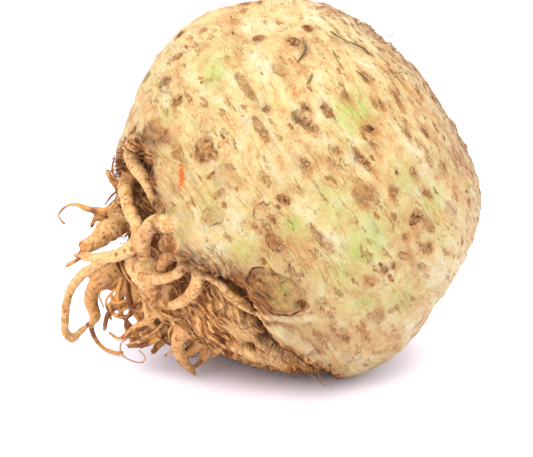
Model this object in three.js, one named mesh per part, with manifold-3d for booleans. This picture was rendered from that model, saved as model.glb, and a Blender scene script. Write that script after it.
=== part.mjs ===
// A celeriac root as it is sold: the swollen bulb lying on its side, with the trimmed crown up on
// the right and the tuft of short, twisting roots on the lower left. It grew as one piece, so it is
// one solid: the bulb's surface is a formula, and each root is a tapered tube sunk into it.
//
// Millimetres, +Z up. The origin is the middle of the small flat spot that the bulb rests on.
// +X runs from the root tuft towards the crown, and +Y away from the side where the tuft shows best.
import * as THREE from "three";
import { mergeVertices } from "three/addons/utils/BufferGeometryUtils.js";
import Module from "manifold-3d";

const wasm = await Module();
wasm.setup();

// Driving dimensions
const BULB_RADIUS = 62.9;
const REST_DEPTH = 1.5; // how much of the bulb the flat spot takes away
const CROWN_HEIGHT = 54; // from the bulb's centre to the plane that the crown is trimmed to
const CROWN_ROUNDING = 5;
const VIEW_TILT = THREE.MathUtils.degToRad(18); // the forms below are laid out as seen from this far above
const VIEW_FROM = { distance: 509, right: -10.5, up: -13.2 }; // the eye, and the point it looks at
const TURN_STEPS = 64; // facets round the bulb
const POLE_RINGS = 9; // rings of facets from the root pole to the bottom of the crease
const WALL_RINGS = 2;
const CROWN_RINGS = 28;
const ROOT_SIDES = 7;
const ROOT_STEP = 3.6; // spacing of the rings along a root
const ROOT_SEED = 7;

// A direction or offset given as it looks from the front: to the right, upwards and towards the eye.
function seen(right, up, toward) {
  const c = Math.cos(VIEW_TILT);
  const s = Math.sin(VIEW_TILT);
  return new THREE.Vector3(right, up * s - toward * c, up * c + toward * s);
}

// The same for a point that is laid out as the eye sees it, where what is nearer looks larger.
function drawn(right, up, toward) {
  const shrink = 1 - toward / VIEW_FROM.distance;
  const { right: r, up: u } = VIEW_FROM;
  return seen(r + (right - r) * shrink, u + (up - u) * shrink, toward);
}

const CROWN = seen(0.747, 0.594, -0.3).normalize();
const ROOT_POLE = seen(-0.76, -0.65, 0).normalize();
const ROOT_LOW = seen(0.65, -0.76, 0).normalize(); // across the root pole, where its ring starts
const ROOT_NEAR = seen(0, 0, 1); // a quarter turn further round the ring

const smoothStep = (t) => t * t * (3 - 2 * t);
const clamp01 = (t) => Math.min(1, Math.max(0, t));
const smoothMin = (a, b, k) => Math.min(a, b) - Math.max(k - Math.abs(a - b), 0) ** 2 / (4 * k);

// Broad lumps and hollows of the bulb: where they are, how high and how wide (in radians).
const LUMPS = [
  { at: seen(-0.56, 0.82, 0.1), height: 4.1, width: 0.42 }, // shoulder at the upper left
  { at: seen(0.12, 0.99, 0), height: 2.2, width: 0.3 },
  { at: seen(0.74, 0.64, 0.2), height: -4.6, width: 0.5 }, // the flatter side below the crown
  { at: seen(0.93, 0.36, 0.15), height: -3.2, width: 0.22 },
  { at: seen(0.32, -0.94, 0.05), height: 3.4, width: 0.4 }, // heel at the lower right
  { at: seen(0.76, -0.64, 0.12), height: -2.6, width: 0.3 }, // waist beside the heel
  { at: seen(0.98, -0.16, 0.05), height: 1.2, width: 0.3 },
  { at: seen(-0.14, -0.55, 0.82), height: 2.4, width: 0.13 }, // old root scar, a low knob
  { at: seen(-0.06, -0.57, 0.82), height: 1.6, width: 0.09 },
  { at: seen(-0.55, -0.13, 0.82), height: 1.8, width: 0.24 }, // cheek over the root tuft
  { at: seen(-0.35, -0.4, 0.84), height: 1.4, width: 0.16 },
  { at: seen(0.35, 0.1, 0.93), height: 1.0, width: 0.35 },
  { at: seen(-0.46, -0.72, 0.52), height: 2.6, width: 0.16 }, // fibrous humps on the tuft's ground
  { at: seen(-0.29, -0.87, 0.39), height: 2.2, width: 0.13 },
  { at: seen(-0.7, -0.3, 0.64), height: 2.2, width: 0.14 },
  { at: seen(0.1, 0.3, -0.95), height: 2.0, width: 0.5 }, // far side
  { at: seen(-0.3, 0.5, -0.8), height: -1.6, width: 0.35 },
  { at: seen(0.4, -0.5, -0.75), height: 1.5, width: 0.3 },
];
LUMPS.forEach((lump) => lump.at.normalize());

// Slow waves that keep the bulb from looking turned on a lathe: direction, count, phase and height.
const WAVES = [
  { along: [0.8, 0.5, 0.33], count: 5.2, phase: 0.6, height: 0.55 },
  { along: [-0.42, 0.71, 0.56], count: 6.7, phase: 2.1, height: 0.5 },
  { along: [0.21, -0.62, 0.75], count: 8.9, phase: 4.0, height: 0.38 },
  { along: [-0.73, -0.2, 0.65], count: 11.3, phase: 1.2, height: 0.3 },
  { along: [0.35, 0.9, -0.25], count: 13.7, phase: 5.3, height: 0.24 },
  { along: [0.62, -0.3, -0.72], count: 16.1, phase: 3.3, height: 0.2 },
];

// The crease round the root tuft, from its low end by the near side and back: turn about the root
// pole, how far the crease lies from the pole (both in degrees), and how deep it is.
const CREASE = [
  [0, 57, 2.2],
  [30, 55.5, 3.4],
  [42, 55, 4.4],
  [53, 54.5, 5],
  [61, 53, 5.5],
  [70, 54, 5.5],
  [78, 54.5, 5],
  [87, 51, 5],
  [99, 46, 5],
  [107, 50, 5],
  [117, 52.5, 5.5],
  [124, 56, 6.5],
  [131, 59.5, 7.5],
  [140, 60, 7.5],
  [152, 57, 5.5],
  [180, 50, 3.5],
  [225, 50, 3.5],
  [270, 54, 4],
  [312, 57, 2],
  [337, 58, 0.8],
  [360, 57, 2.2],
];
const CREASE_WALL = 4.5; // degrees from the lip down to the bottom of the crease
const CREASE_RISE = 20; // degrees from the bottom back up to the tuft's own ground
const TUFT_SUNK = 1.2; // how far that ground lies below the bulb's round
const LIP_HEIGHT = 1.3;
const LIP_WIDTH = 9;

function creaseAt(turn) {
  const next = CREASE.findIndex((row) => row[0] > turn);
  const [t0, a0, d0] = CREASE[next - 1];
  const [t1, a1, d1] = CREASE[next];
  const f = smoothStep((turn - t0) / (t1 - t0));
  return { angle: a0 + (a1 - a0) * f, depth: d0 + (d1 - d0) * f };
}

// What the root tuft adds to the bulb's radius in direction n: the lip, the crease and the ground.
function tuftRelief(n) {
  const fromPole = THREE.MathUtils.radToDeg(n.angleTo(ROOT_POLE));
  const turn = THREE.MathUtils.radToDeg(Math.atan2(n.dot(ROOT_NEAR), n.dot(ROOT_LOW)));
  const crease = creaseAt((turn + 360) % 360);
  const outside = fromPole - crease.angle;
  const lip = (LIP_HEIGHT * crease.depth) / 5;
  if (outside >= 0) return lip * Math.exp(-((outside / LIP_WIDTH) ** 2));
  const fallen = smoothStep(clamp01(-outside / CREASE_WALL));
  const risen = smoothStep(clamp01((-outside - CREASE_WALL) / CREASE_RISE));
  return lip * (1 - fallen) - crease.depth * fallen + (crease.depth - TUFT_SUNK) * risen;
}

const CROWN_BUTTON = { height: 2.6, width: 0.2 }; // stub of the cut leaf stalks
const CROWN_MOAT = { depth: 1.4, at: 0.34, width: 0.1 };

function bulbRadius(n) {
  let r = BULB_RADIUS;
  for (const lump of LUMPS) {
    r += lump.height * Math.exp((n.dot(lump.at) - 1) / (lump.width ** 2 / 2));
  }
  for (const wave of WAVES) {
    const [x, y, z] = wave.along;
    r += wave.height * Math.sin(wave.count * (n.x * x + n.y * y + n.z * z) + wave.phase);
  }
  r += tuftRelief(n);
  const facing = n.dot(CROWN);
  if (facing > 0.3) r = smoothMin(r, CROWN_HEIGHT / facing, CROWN_ROUNDING);
  const fromCrown = n.angleTo(CROWN);
  r += CROWN_BUTTON.height * Math.exp(-((fromCrown / CROWN_BUTTON.width) ** 2));
  r -= CROWN_MOAT.depth * Math.exp(-(((fromCrown - CROWN_MOAT.at) / CROWN_MOAT.width) ** 2));
  return r;
}

const CENTRE = new THREE.Vector3(0, 0, bulbRadius(new THREE.Vector3(0, 0, -1)) - REST_DEPTH);

// A closed three.js geometry as a manifold-3d solid.
function solidOf(geometry) {
  geometry.deleteAttribute("normal");
  geometry.deleteAttribute("uv");
  const merged = mergeVertices(geometry, 1e-4);
  return new wasm.Manifold(
    new wasm.Mesh({
      numProp: 3,
      vertProperties: merged.getAttribute("position").array,
      triVerts: new Uint32Array(merged.index.array),
    }),
  );
}

// A unit direction from the bulb's centre, from its place about the root pole in degrees.
function aboutRootPole(turn, fromPole) {
  const t = THREE.MathUtils.degToRad(turn);
  const a = THREE.MathUtils.degToRad(fromPole);
  const n = ROOT_POLE.clone().multiplyScalar(Math.cos(a));
  n.addScaledVector(ROOT_LOW, Math.sin(a) * Math.cos(t));
  n.addScaledVector(ROOT_NEAR, Math.sin(a) * Math.sin(t));
  return n;
}

// The bulb: rings of facets round the root pole that follow the crease, so that its lip is an edge.
function makeBulb() {
  const rings = POLE_RINGS + WALL_RINGS + CROWN_RINGS;
  const vertices = [];
  const faces = [];
  const addVertex = (turn, fromPole) => {
    const n = aboutRootPole(turn, fromPole);
    const p = n.clone().multiplyScalar(bulbRadius(n)).add(CENTRE);
    vertices.push(p.x, p.y, p.z);
  };
  for (let i = 1; i < rings; i++) {
    for (let j = 0; j < TURN_STEPS; j++) {
      const turn = (j * 360) / TURN_STEPS;
      const lip = creaseAt(turn).angle;
      const bottom = lip - CREASE_WALL;
      const onWall = i - POLE_RINGS;
      const onBulb = onWall - WALL_RINGS;
      if (onWall <= 0) addVertex(turn, (bottom * i) / POLE_RINGS);
      else if (onBulb <= 0) addVertex(turn, bottom + (CREASE_WALL * onWall) / WALL_RINGS);
      else addVertex(turn, lip + ((180 - lip) * onBulb) / CROWN_RINGS);
    }
  }
  addVertex(0, 0);
  addVertex(0, 180);
  const rootEnd = vertices.length / 3 - 2;
  const crownEnd = rootEnd + 1;
  for (let j = 0; j < TURN_STEPS; j++) {
    const j2 = (j + 1) % TURN_STEPS;
    for (let i = 0; i < rings - 2; i++) {
      const a = i * TURN_STEPS;
      const b = a + TURN_STEPS;
      faces.push(a + j, b + j, b + j2, a + j, b + j2, a + j2);
    }
    const last = (rings - 2) * TURN_STEPS;
    faces.push(rootEnd, j, j2);
    faces.push(crownEnd, last + j2, last + j);
  }
  const geometry = new THREE.BufferGeometry();
  geometry.setAttribute("position", new THREE.Float32BufferAttribute(vertices, 3));
  geometry.setIndex(faces);
  return solidOf(geometry);
}

// The roots that show, each a line of points as drawn from the front: right, up and toward in
// millimetres from the bulb's centre, and the root's radius there.
const ROOTS = {
  smooth_lobe: [
    [-59.5, -24.4, 15, 4.2], [-56, -25.5, 15, 5.3], [-52, -28.2, 14.5, 6.6], [-47, -32, 14, 8.6],
    [-41.6, -35.8, 15, 10.2], [-35, -40.6, 16, 10.6], [-27, -45, 15, 9],
  ],
  upper_strand: [
    [-57.8, 11.4, 13, 3.8], [-54.4, 6.2, 26, 3.3], [-51.3, 1, 33, 2.5], [-48.2, -5.5, 36, 1.6],
  ],
  cheek_strand: [[-45.8, 9, 36, 3], [-46, 2, 38, 2.3], [-46.2, -3, 38, 2.1], [-46.6, -8, 36, 1.8]],
  long_bent: [
    [-58.8, 1, 15, 3.4], [-58, -3, 24, 2.7], [-57, -8, 29, 2.4], [-54.6, -12.6, 31, 2.4],
    [-55, -17, 30, 2.4], [-57.8, -20, 27, 2.3], [-63, -22, 24, 2.3], [-72.5, -22.8, 20, 1.7],
    [-76.4, -22.4, 18, 0.9],
  ],
  from_cheek: [
    [-38, -12, 42, 3.6], [-44.5, -10, 46.5, 2.7], [-49.8, -11, 43.5, 2.6], [-52, -14.2, 38.5, 2.6],
    [-52.5, -17.4, 34, 2.6], [-53.5, -21.4, 28, 2.4],
  ],
  fat_stub: [
    [-56, -8, 6, 4.6], [-63.6, -13.4, 14, 3.8], [-67.8, -16.5, 16, 3.4], [-71.2, -18.6, 17, 3.1],
    [-74.6, -20.3, 17, 2.5],
  ],
  thin_curl: [
    [-57, -3, 6, 2.6], [-62.2, -5, 9, 1.9], [-65.4, -7.2, 9, 1.5], [-69, -7, 8.5, 1.3],
    [-73, -6.2, 8, 1.1], [-75.6, -5, 8, 0.8], [-79, -5.4, 8, 0.5], [-82, -8.6, 7, 0.4],
    [-81, -10.6, 7, 0.4], [-78.4, -12.8, 7, 0.35],
  ],
  dark_hook: [
    [-60, -12, 6, 2], [-65, -10.6, 7, 1.4], [-68, -9.4, 7.4, 1.2], [-70, -10.2, 7.4, 1.1],
    [-70.5, -12.6, 7, 0.9],
  ],
  top_hook: [
    [-60, -1, 8, 1.5], [-62.3, 1.4, 9, 1], [-64.5, 5, 10, 0.9], [-65.3, 6.6, 10, 0.7], [-65.6, 3, 10, 0.6],
  ],
  far_hoop: [
    [-62, -24, 1, 3], [-68, -26, -2, 2.3], [-72.6, -28, -5, 2], [-76, -31.4, -9, 1.8],
    [-78.6, -36, -14, 1.7], [-79.8, -43, -19, 1.6], [-79.6, -49, -24, 1.6], [-77.4, -51.2, -26, 1.4],
    [-74.6, -48.8, -26, 1.2], [-71.6, -46, -26, 0.9],
  ],
  thick_dark: [
    [-60, -26, 4, 3.4], [-65.6, -29.6, 0, 3], [-69.4, -33, -4, 2.8], [-71, -38, -8, 2.6],
    [-69.4, -43.4, -10, 2], [-70.8, -46.6, -12, 1], [-69.4, -51, -14, 0.8], [-66.4, -54.4, -16, 0.7],
    [-61.6, -56, -15, 0.7], [-58.6, -55.4, -13, 0.6],
  ],
  behind_middle: [[-57, -27, 4, 2.8], [-59.6, -31.6, 2, 2.2], [-60.8, -37, 0, 2], [-60.8, -42, -2, 1.3]],
  left_low: [[-55, -33, 8, 2.4], [-62, -37, 2, 1.9], [-64.4, -41, 0, 1.6], [-63.4, -45.4, 0, 1.1]],
  crossing: [
    [-39.9, -23, 38, 2.2], [-40, -27.5, 37.5, 1.8], [-43.8, -29.8, 34, 1.7], [-49, -30.2, 29.5, 1.6],
    [-54.2, -29.8, 26, 1.3],
  ],
  curved_right: [
    [-34, -25, 40, 2.6], [-34.4, -31, 38.5, 2.2], [-36, -35, 35.5, 2.1], [-39.4, -37.6, 31, 2],
    [-43, -39, 27, 1.7],
  ],
  cut_stump: [[-36, -14, 34, 5.6], [-41, -17.4, 40, 4.4], [-43.6, -18.9, 43.6, 3.4]],
  under_stump: [[-41, -18, 34, 4], [-46, -22.6, 34, 3.2], [-48, -27, 31, 2.2]],
  middle_down: [
    [-54.6, -29, 12, 2.6], [-55.4, -34.4, 13, 2], [-54.4, -39.6, 13, 1.9], [-53, -43.6, 12, 1.8],
    [-51.6, -46, 11, 1.3],
  ],
  hooked: [
    [-52, -34, 15, 1.8], [-51.2, -40.4, 15.6, 1.5], [-49.8, -45, 15, 1.5], [-50.6, -48.2, 14, 1.4],
    [-54, -49, 12, 1.3], [-57.2, -48, 11, 1.2], [-59.2, -45, 11, 0.8],
  ],
  branching: [
    [-54, -38, 9, 1.5], [-61.2, -40, 8.6, 1], [-64.8, -42.2, 8, 0.9], [-66, -46.2, 8, 0.8],
    [-66.4, -50, 7, 0.5],
  ],
  low_near: [[-34, -40, 17, 2.6], [-42, -45, 15, 1.9], [-47.2, -48.6, 12, 1.7], [-51.4, -50.6, 10, 1.3]],
  low_far: [[-34, -45, 8, 2.8], [-42, -49, 7, 2.1], [-48, -51.6, 5, 1.5]],
  bundle: [[-48, -40, 3, 6], [-54, -46, 2, 5.2], [-57.6, -51, 2, 3.8]],
  foot_near: [
    [-33, -41, 21, 4.4], [-39.4, -48, 21, 3], [-41, -54, 16, 2.3], [-38.8, -59, 9, 1.8],
    [-35.1, -63.2, 3, 0.9],
  ],
  foot_inner: [[-29, -47, 16, 3], [-33.6, -52.4, 14, 2.3], [-37.6, -56, 11, 1.6]],
  foot_stub: [[-31, -52, 10, 2.6], [-32, -57.4, 7, 1.7], [-34.2, -60, 5, 1]],
  flake: [[-25, -44, 24, 2.4], [-26, -51, 22, 2.1], [-28.4, -56, 17, 1.5]],
  in_crease: [
    [-37, -24, 40, 1.8], [-34, -27, 43, 1.4], [-30.6, -31, 43.4, 1.6], [-25, -34, 44.4, 1.6],
    [-18.6, -38, 43.6, 1],
  ],
  pale_ridge: [
    [-13, -43, 37, 1.9], [-10, -46, 36.5, 2.3], [-6, -49.6, 33.6, 2.5], [-1.7, -54, 28, 2.4],
    [3, -58, 20, 1.8],
  ],
};

// A tapered tube with round ends along a smooth curve through the points, none of them below the floor.
const FLOOR_GAP = 0.3;
function rootGeometry(points, radii) {
  points.forEach((point, i) => {
    point.z = Math.max(point.z, radii[i] + FLOOR_GAP);
  });
  const curve = new THREE.CatmullRomCurve3(points, false, "centripetal");
  const rings = Math.max(3, Math.round(curve.getLength() / ROOT_STEP));
  const frames = curve.computeFrenetFrames(rings, false);
  const vertices = [];
  const faces = [];
  const addRing = (centre, k, radius) => {
    for (let s = 0; s < ROOT_SIDES; s++) {
      const a = (s / ROOT_SIDES) * 2 * Math.PI;
      const p = centre.clone();
      p.addScaledVector(frames.normals[k], radius * Math.cos(a));
      p.addScaledVector(frames.binormals[k], radius * Math.sin(a));
      vertices.push(p.x, p.y, p.z);
    }
  };
  for (let k = 0; k <= rings; k++) {
    const t = curve.getUtoTmapping(k / rings) * (points.length - 1);
    const i = Math.min(points.length - 2, Math.floor(t));
    addRing(curve.getPointAt(k / rings), k, radii[i] + (radii[i + 1] - radii[i]) * (t - i));
  }
  const tipRadius = radii[radii.length - 1];
  const tip = points[points.length - 1].clone().addScaledVector(frames.tangents[rings], tipRadius * 0.5);
  vertices.push(points[0].x, points[0].y, points[0].z, tip.x, tip.y, tip.z);
  const start = vertices.length / 3 - 2;
  const end = start + 1;
  for (let s = 0; s < ROOT_SIDES; s++) {
    const s2 = (s + 1) % ROOT_SIDES;
    faces.push(start, s2, s);
    faces.push(end, rings * ROOT_SIDES + s, rings * ROOT_SIDES + s2);
    for (let k = 0; k < rings; k++) {
      const a = k * ROOT_SIDES;
      const b = a + ROOT_SIDES;
      faces.push(a + s, a + s2, b + s2, a + s, b + s2, b + s);
    }
  }
  const geometry = new THREE.BufferGeometry();
  geometry.setAttribute("position", new THREE.Float32BufferAttribute(vertices, 3));
  geometry.setIndex(faces);
  return geometry;
}

// A repeatable number from 0 to 1 for each pair of whole numbers.
function draw(i, k) {
  const wave = Math.sin(i * 12.9898 + k * 78.233 + ROOT_SEED) * 43758.5453;
  return wave - Math.floor(wave);
}

// The roots of the far side and the underside, by rule: each leaves the tuft's ground, heads
// outwards and to the root pole, wanders, and hangs down.
const FAR_ROOTS = 17;
const FAR_TURN = [195, 350]; // degrees about the root pole
const FAR_SPREAD = [8, 46]; // degrees from the root pole
const FAR_POINTS = 5;
function farRoot(i) {
  const along = (i + 0.8 * draw(i, 1)) / FAR_ROOTS;
  const n = aboutRootPole(
    FAR_TURN[0] + (FAR_TURN[1] - FAR_TURN[0]) * along,
    FAR_SPREAD[0] + (FAR_SPREAD[1] - FAR_SPREAD[0]) * draw(i, 2),
  );
  const step = 5 + 4.5 * draw(i, 3);
  const base = 1.6 + 1.3 * draw(i, 4);
  const heading = n.clone().addScaledVector(ROOT_POLE, 0.35).normalize();
  const point = n.clone().multiplyScalar(bulbRadius(n) - 5).add(CENTRE);
  const points = [point.clone()];
  const radii = [base + 1];
  for (let k = 1; k < FAR_POINTS; k++) {
    point.addScaledVector(heading, step);
    points.push(point.clone());
    radii.push(base * (1 - (0.6 * k) / FAR_POINTS));
    const wander = [0, 1, 2].map((axis) => draw(i, 10 * k + axis) - 0.5);
    heading.add(new THREE.Vector3(...wander).multiplyScalar(1.5));
    heading.z -= 0.28;
    heading.normalize();
  }
  return rootGeometry(points, radii);
}

function makeRoots() {
  const seenRoots = Object.values(ROOTS).map((rows) =>
    rootGeometry(
      rows.map(([right, up, toward]) => drawn(right, up, toward).add(CENTRE)),
      rows.map((row) => row[3]),
    ),
  );
  const farRoots = Array.from({ length: FAR_ROOTS }, (_, i) => farRoot(i));
  return [...seenRoots, ...farRoots].map(solidOf);
}

// Everything below the resting plane is cut away, which leaves the flat spot.
function belowFloor() {
  const size = 4 * BULB_RADIUS;
  return solidOf(new THREE.BoxGeometry(size, size, size).translate(0, 0, -size / 2));
}

// One solid: a hollow that the joining seals is filled, and a loose scrap is dropped.
function makeCeleriac() {
  const joined = makeRoots().reduce((sum, root) => sum.add(root), makeBulb());
  const bodies = joined.subtract(belowFloor()).decompose();
  bodies.sort((a, b) => b.volume() - a.volume());
  const mesh = bodies[0].getMesh();
  const geometry = new THREE.BufferGeometry();
  geometry.setAttribute("position", new THREE.BufferAttribute(mesh.vertProperties, 3));
  geometry.setIndex(new THREE.BufferAttribute(mesh.triVerts, 1));
  geometry.computeVertexNormals();
  return geometry;
}

const skin = new THREE.MeshStandardMaterial({ color: 0xe3d2a0, roughness: 0.75, metalness: 0 });
const celeriac = new THREE.Mesh(makeCeleriac(), skin);
celeriac.name = "celeriac";

const root = new THREE.Group();
root.add(celeriac);

export default root;
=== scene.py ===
# %% [markdown]
# # A celeriac root lying on its side
#
# A celeriac is a swollen piece of stem and root. The smooth, scarred bulb is the swollen part. Its
# crown, where the leaf stalks were cut off, points up to the right, and its thick roots were trimmed
# short at the lower left. It all grew as one thing, so the picture is made of one skin, fused from
# the bulb and the thick roots, with thin rootlets and fine hairs growing out of it.
#
# Everything is laid out in millimetres in the part's own frame and turned into metres at the end.

import math

import bmesh
import bpy
import numpy as np
from mathutils import Euler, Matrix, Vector
from mathutils.bvhtree import BVHTree


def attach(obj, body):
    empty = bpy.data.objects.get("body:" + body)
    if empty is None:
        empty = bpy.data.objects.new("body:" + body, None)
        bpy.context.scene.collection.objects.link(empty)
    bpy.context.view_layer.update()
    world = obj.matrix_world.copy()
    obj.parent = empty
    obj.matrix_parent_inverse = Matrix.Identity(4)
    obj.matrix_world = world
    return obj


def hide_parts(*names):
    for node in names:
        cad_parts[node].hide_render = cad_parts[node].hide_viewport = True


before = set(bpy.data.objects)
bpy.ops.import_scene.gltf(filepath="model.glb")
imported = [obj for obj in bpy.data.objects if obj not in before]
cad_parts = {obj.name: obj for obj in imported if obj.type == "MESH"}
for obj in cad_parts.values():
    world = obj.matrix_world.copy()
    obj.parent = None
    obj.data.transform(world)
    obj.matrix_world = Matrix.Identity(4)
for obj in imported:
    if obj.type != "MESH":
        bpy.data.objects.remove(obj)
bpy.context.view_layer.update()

# %% [markdown]
# ## Where things are
#
# The forms are laid out as the eye sees them from the front: so far to the right, so far up and so
# far towards the eye. A point nearer to the eye looks larger, and `drawn` takes that out again.

# %% The layout's two ways of naming a point
TILT = math.radians(18)
EYE_DISTANCE, EYE_RIGHT, EYE_UP = 509.0, -10.5, -13.2


def seen(right, up, toward):
    right, up, toward = (np.asarray(a, float) for a in (right, up, toward))
    c, s = math.cos(TILT), math.sin(TILT)
    return np.stack(np.broadcast_arrays(right, up * s - toward * c, up * c + toward * s), -1)


def drawn(right, up, toward):
    right, up, toward = (np.asarray(a, float) for a in (right, up, toward))
    shrink = 1 - toward / EYE_DISTANCE
    return seen(EYE_RIGHT + (right - EYE_RIGHT) * shrink, EYE_UP + (up - EYE_UP) * shrink, toward)


def unit(v):
    v = np.asarray(v, float)
    return v / np.linalg.norm(v, axis=-1, keepdims=True)


CROWN = unit(seen(0.747, 0.594, -0.3))
GRAIN = unit(seen(0.80, 0.56, 0.06))  # the skin's streaks run in rings about this
ROOT_POLE = unit(seen(-0.76, -0.65, 0))
ROOT_LOW = unit(seen(0.65, -0.76, 0))
ROOT_NEAR = seen(0, 0, 1)

# %% [markdown]
# ## The bulb's form
#
# A bulb that grew is a ball that was pushed about. Its radius in each direction starts from a ball's
# and gets broad lumps and hollows, some slow waves, a flat where the crown was cut, and the deep
# crease under the cheek where the root tuft begins. A formula is used because the same radius is
# needed again to place scars on the skin.

# %% Lumps, waves and the crown
BULB_RADIUS, REST_DEPTH = 62.9, 1.5
CROWN_HEIGHT, CROWN_ROUNDING, CROWN_SIDE = 54.0, 5.0, 0.3
KNOB_HEIGHT, KNOB_WIDTH = 2.6, 0.2  # what is left of the leaf stalks, in the middle of the crown
DIP_DEPTH, DIP_AT, DIP_WIDTH = 1.4, 0.34, 0.1  # a ring round it
LUMPS = [  # right, up, toward, height, width
    (-0.56, 0.82, 0.1, 4.1, 0.42),
    (0.12, 0.99, 0, 2.2, 0.3),
    (0.74, 0.64, 0.2, -4.6, 0.5),
    (0.93, 0.36, 0.15, -3.2, 0.22),
    (0.32, -0.94, 0.05, 3.4, 0.4),
    (0.76, -0.64, 0.12, -2.6, 0.3),
    (0.98, -0.16, 0.05, 1.2, 0.3),
    (-0.14, -0.55, 0.82, 2.4, 0.13),
    (-0.06, -0.57, 0.82, 1.6, 0.09),
    (-0.55, -0.13, 0.82, 1.8, 0.24),
    (-0.35, -0.4, 0.84, 1.4, 0.16),
    (0.35, 0.1, 0.93, 1.0, 0.35),
    (-0.46, -0.72, 0.52, 2.6, 0.16),
    (-0.29, -0.87, 0.39, 2.2, 0.13),
    (-0.7, -0.3, 0.64, 2.2, 0.14),
    (0.1, 0.3, -0.95, 2.0, 0.5),
    (-0.3, 0.5, -0.8, -1.6, 0.35),
    (0.4, -0.5, -0.75, 1.5, 0.3),
]
WAVES = [  # direction, count, phase, height
    ((0.8, 0.5, 0.33), 5.2, 0.6, 0.55),
    ((-0.42, 0.71, 0.56), 6.7, 2.1, 0.5),
    ((0.21, -0.62, 0.75), 8.9, 4.0, 0.38),
    ((-0.73, -0.2, 0.65), 11.3, 1.2, 0.3),
    ((0.35, 0.9, -0.25), 13.7, 5.3, 0.24),
    ((0.62, -0.3, -0.72), 16.1, 3.3, 0.2),
]

# %% The crease: turn about the root pole, angle from it, depth
CREASE = np.array([
    (0, 63, 2.2), (20, 63.5, 2.8), (33, 59, 3.6), (43, 56.5, 4.4), (53, 56.5, 5), (60, 57.5, 5.5),
    (67, 60, 5.8), (74, 60.5, 5.8), (80, 60, 5.5), (86, 55.5, 5.2), (93, 51.5, 5), (101, 47.5, 5),
    (107, 50.5, 5), (117, 55, 5.5), (124, 60, 6.5), (131, 63.5, 7.5), (140, 63.5, 7.5),
    (152, 59.5, 5.5), (180, 50, 3.5), (225, 50, 3.5), (270, 54, 4), (312, 57, 2), (337, 59, 0.8),
    (360, 63, 2.2),
])
USUAL_DEPTH = 5  # of the crease
CREASE_WALL, CREASE_RISE, TUFT_SUNK = 4.5, 20.0, 1.2
LIP_HEIGHT, LIP_WIDTH = 1.3, 9.0
PITS = [  # right, up, toward, depth, width
    (-52, 10.5, 32, 3.0, 0.055), (-50.4, 5.5, 36, 3.4, 0.06), (-48, -0.5, 39, 3.0, 0.05)]
AMONG_DEPTH, AMONG_FROM, AMONG_TO, AMONG_EASE = 4.0, 78, 205, 30  # where the near roots stand thick
SPLIT_DEPTH, SPLIT_FROM, SPLIT_TO, SPLIT_AT, SPLIT_WIDTH = 2.4, 45, 150, 5, 3.5  # along the crease


def smooth(t):
    t = np.clip(t, 0, 1)
    return t * t * (3 - 2 * t)


def turn_about_pole(n):
    """How far round the root pole each direction lies, in degrees from the lowest."""
    return np.degrees(np.arctan2(n @ ROOT_NEAR, n @ ROOT_LOW)) % 360


def about_root_pole(n):
    """How far each direction lies outside the crease, in degrees, and the crease's depth there."""
    from_pole = np.degrees(np.arccos(np.clip(n @ ROOT_POLE, -1, 1)))
    turn = turn_about_pole(n)
    i = np.clip(np.searchsorted(CREASE[:, 0], turn, "right"), 1, len(CREASE) - 1)
    low, high = CREASE[i - 1], CREASE[i]
    f = smooth((turn - low[:, 0]) / (high[:, 0] - low[:, 0]))
    angle = low[:, 1] + (high[:, 1] - low[:, 1]) * f
    depth = low[:, 2] + (high[:, 2] - low[:, 2]) * f
    return from_pole - angle, depth


def tuft_relief(outside, depth):
    """The lip of the cheek, the drop into the crease, and the tuft's ground rising again, in mm."""
    lip = LIP_HEIGHT * depth / USUAL_DEPTH
    fallen = smooth(-outside / CREASE_WALL)
    risen = smooth((-outside - CREASE_WALL) / CREASE_RISE)
    inside = lip * (1 - fallen) - depth * fallen + (depth - TUFT_SUNK) * risen
    return np.where(outside >= 0, lip * np.exp(-((outside / LIP_WIDTH) ** 2)), inside)


def between_roots(n, outside):
    """How much lower the ground lies where the near roots stand thick and hide it, in mm."""
    turn = turn_about_pole(n)
    among = AMONG_DEPTH * smooth((turn - AMONG_FROM) / AMONG_EASE) * smooth((AMONG_TO - turn) / AMONG_EASE)
    among = among * smooth((-outside - 3) / 8)
    for right, up, toward, deep, width in PITS:
        among += deep * np.exp((n @ unit(seen(right, up, toward)) - 1) / (width**2 / 2))
    split = SPLIT_DEPTH * smooth((turn - SPLIT_FROM) / 20) * smooth((SPLIT_TO - turn) / 15)
    return among + split * np.exp(-(((outside + SPLIT_AT) / SPLIT_WIDTH) ** 2))


def bulb_radius(n, ragged=0.0):
    """The bulb's radius in each direction n; ragged wanders the crease by so many degrees."""
    r = np.full(len(n), BULB_RADIUS)
    for right, up, toward, height, width in LUMPS:
        r += height * np.exp((n @ unit(seen(right, up, toward)) - 1) / (width**2 / 2))
    for along, count, phase, height in WAVES:
        r += height * np.sin(count * (n @ np.array(along)) + phase)
    outside, depth = about_root_pole(n)
    r += tuft_relief(outside + ragged, depth)
    facing = n @ CROWN
    cut = CROWN_HEIGHT / np.maximum(facing, CROWN_SIDE)
    rounded = np.maximum(CROWN_ROUNDING - np.abs(r - cut), 0) ** 2 / (4 * CROWN_ROUNDING)
    r = np.where(facing > CROWN_SIDE, np.minimum(r, cut) - rounded, r)
    from_crown = np.arccos(np.clip(facing, -1, 1))
    r += KNOB_HEIGHT * np.exp(-((from_crown / KNOB_WIDTH) ** 2))
    return r - DIP_DEPTH * np.exp(-(((from_crown - DIP_AT) / DIP_WIDTH) ** 2))


CENTRE = np.array([0, 0, bulb_radius(np.array([[0, 0, -1.0]]))[0] - REST_DEPTH])
print("bulb centre, mm above the floor:", round(float(CENTRE[2]), 2))

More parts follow.
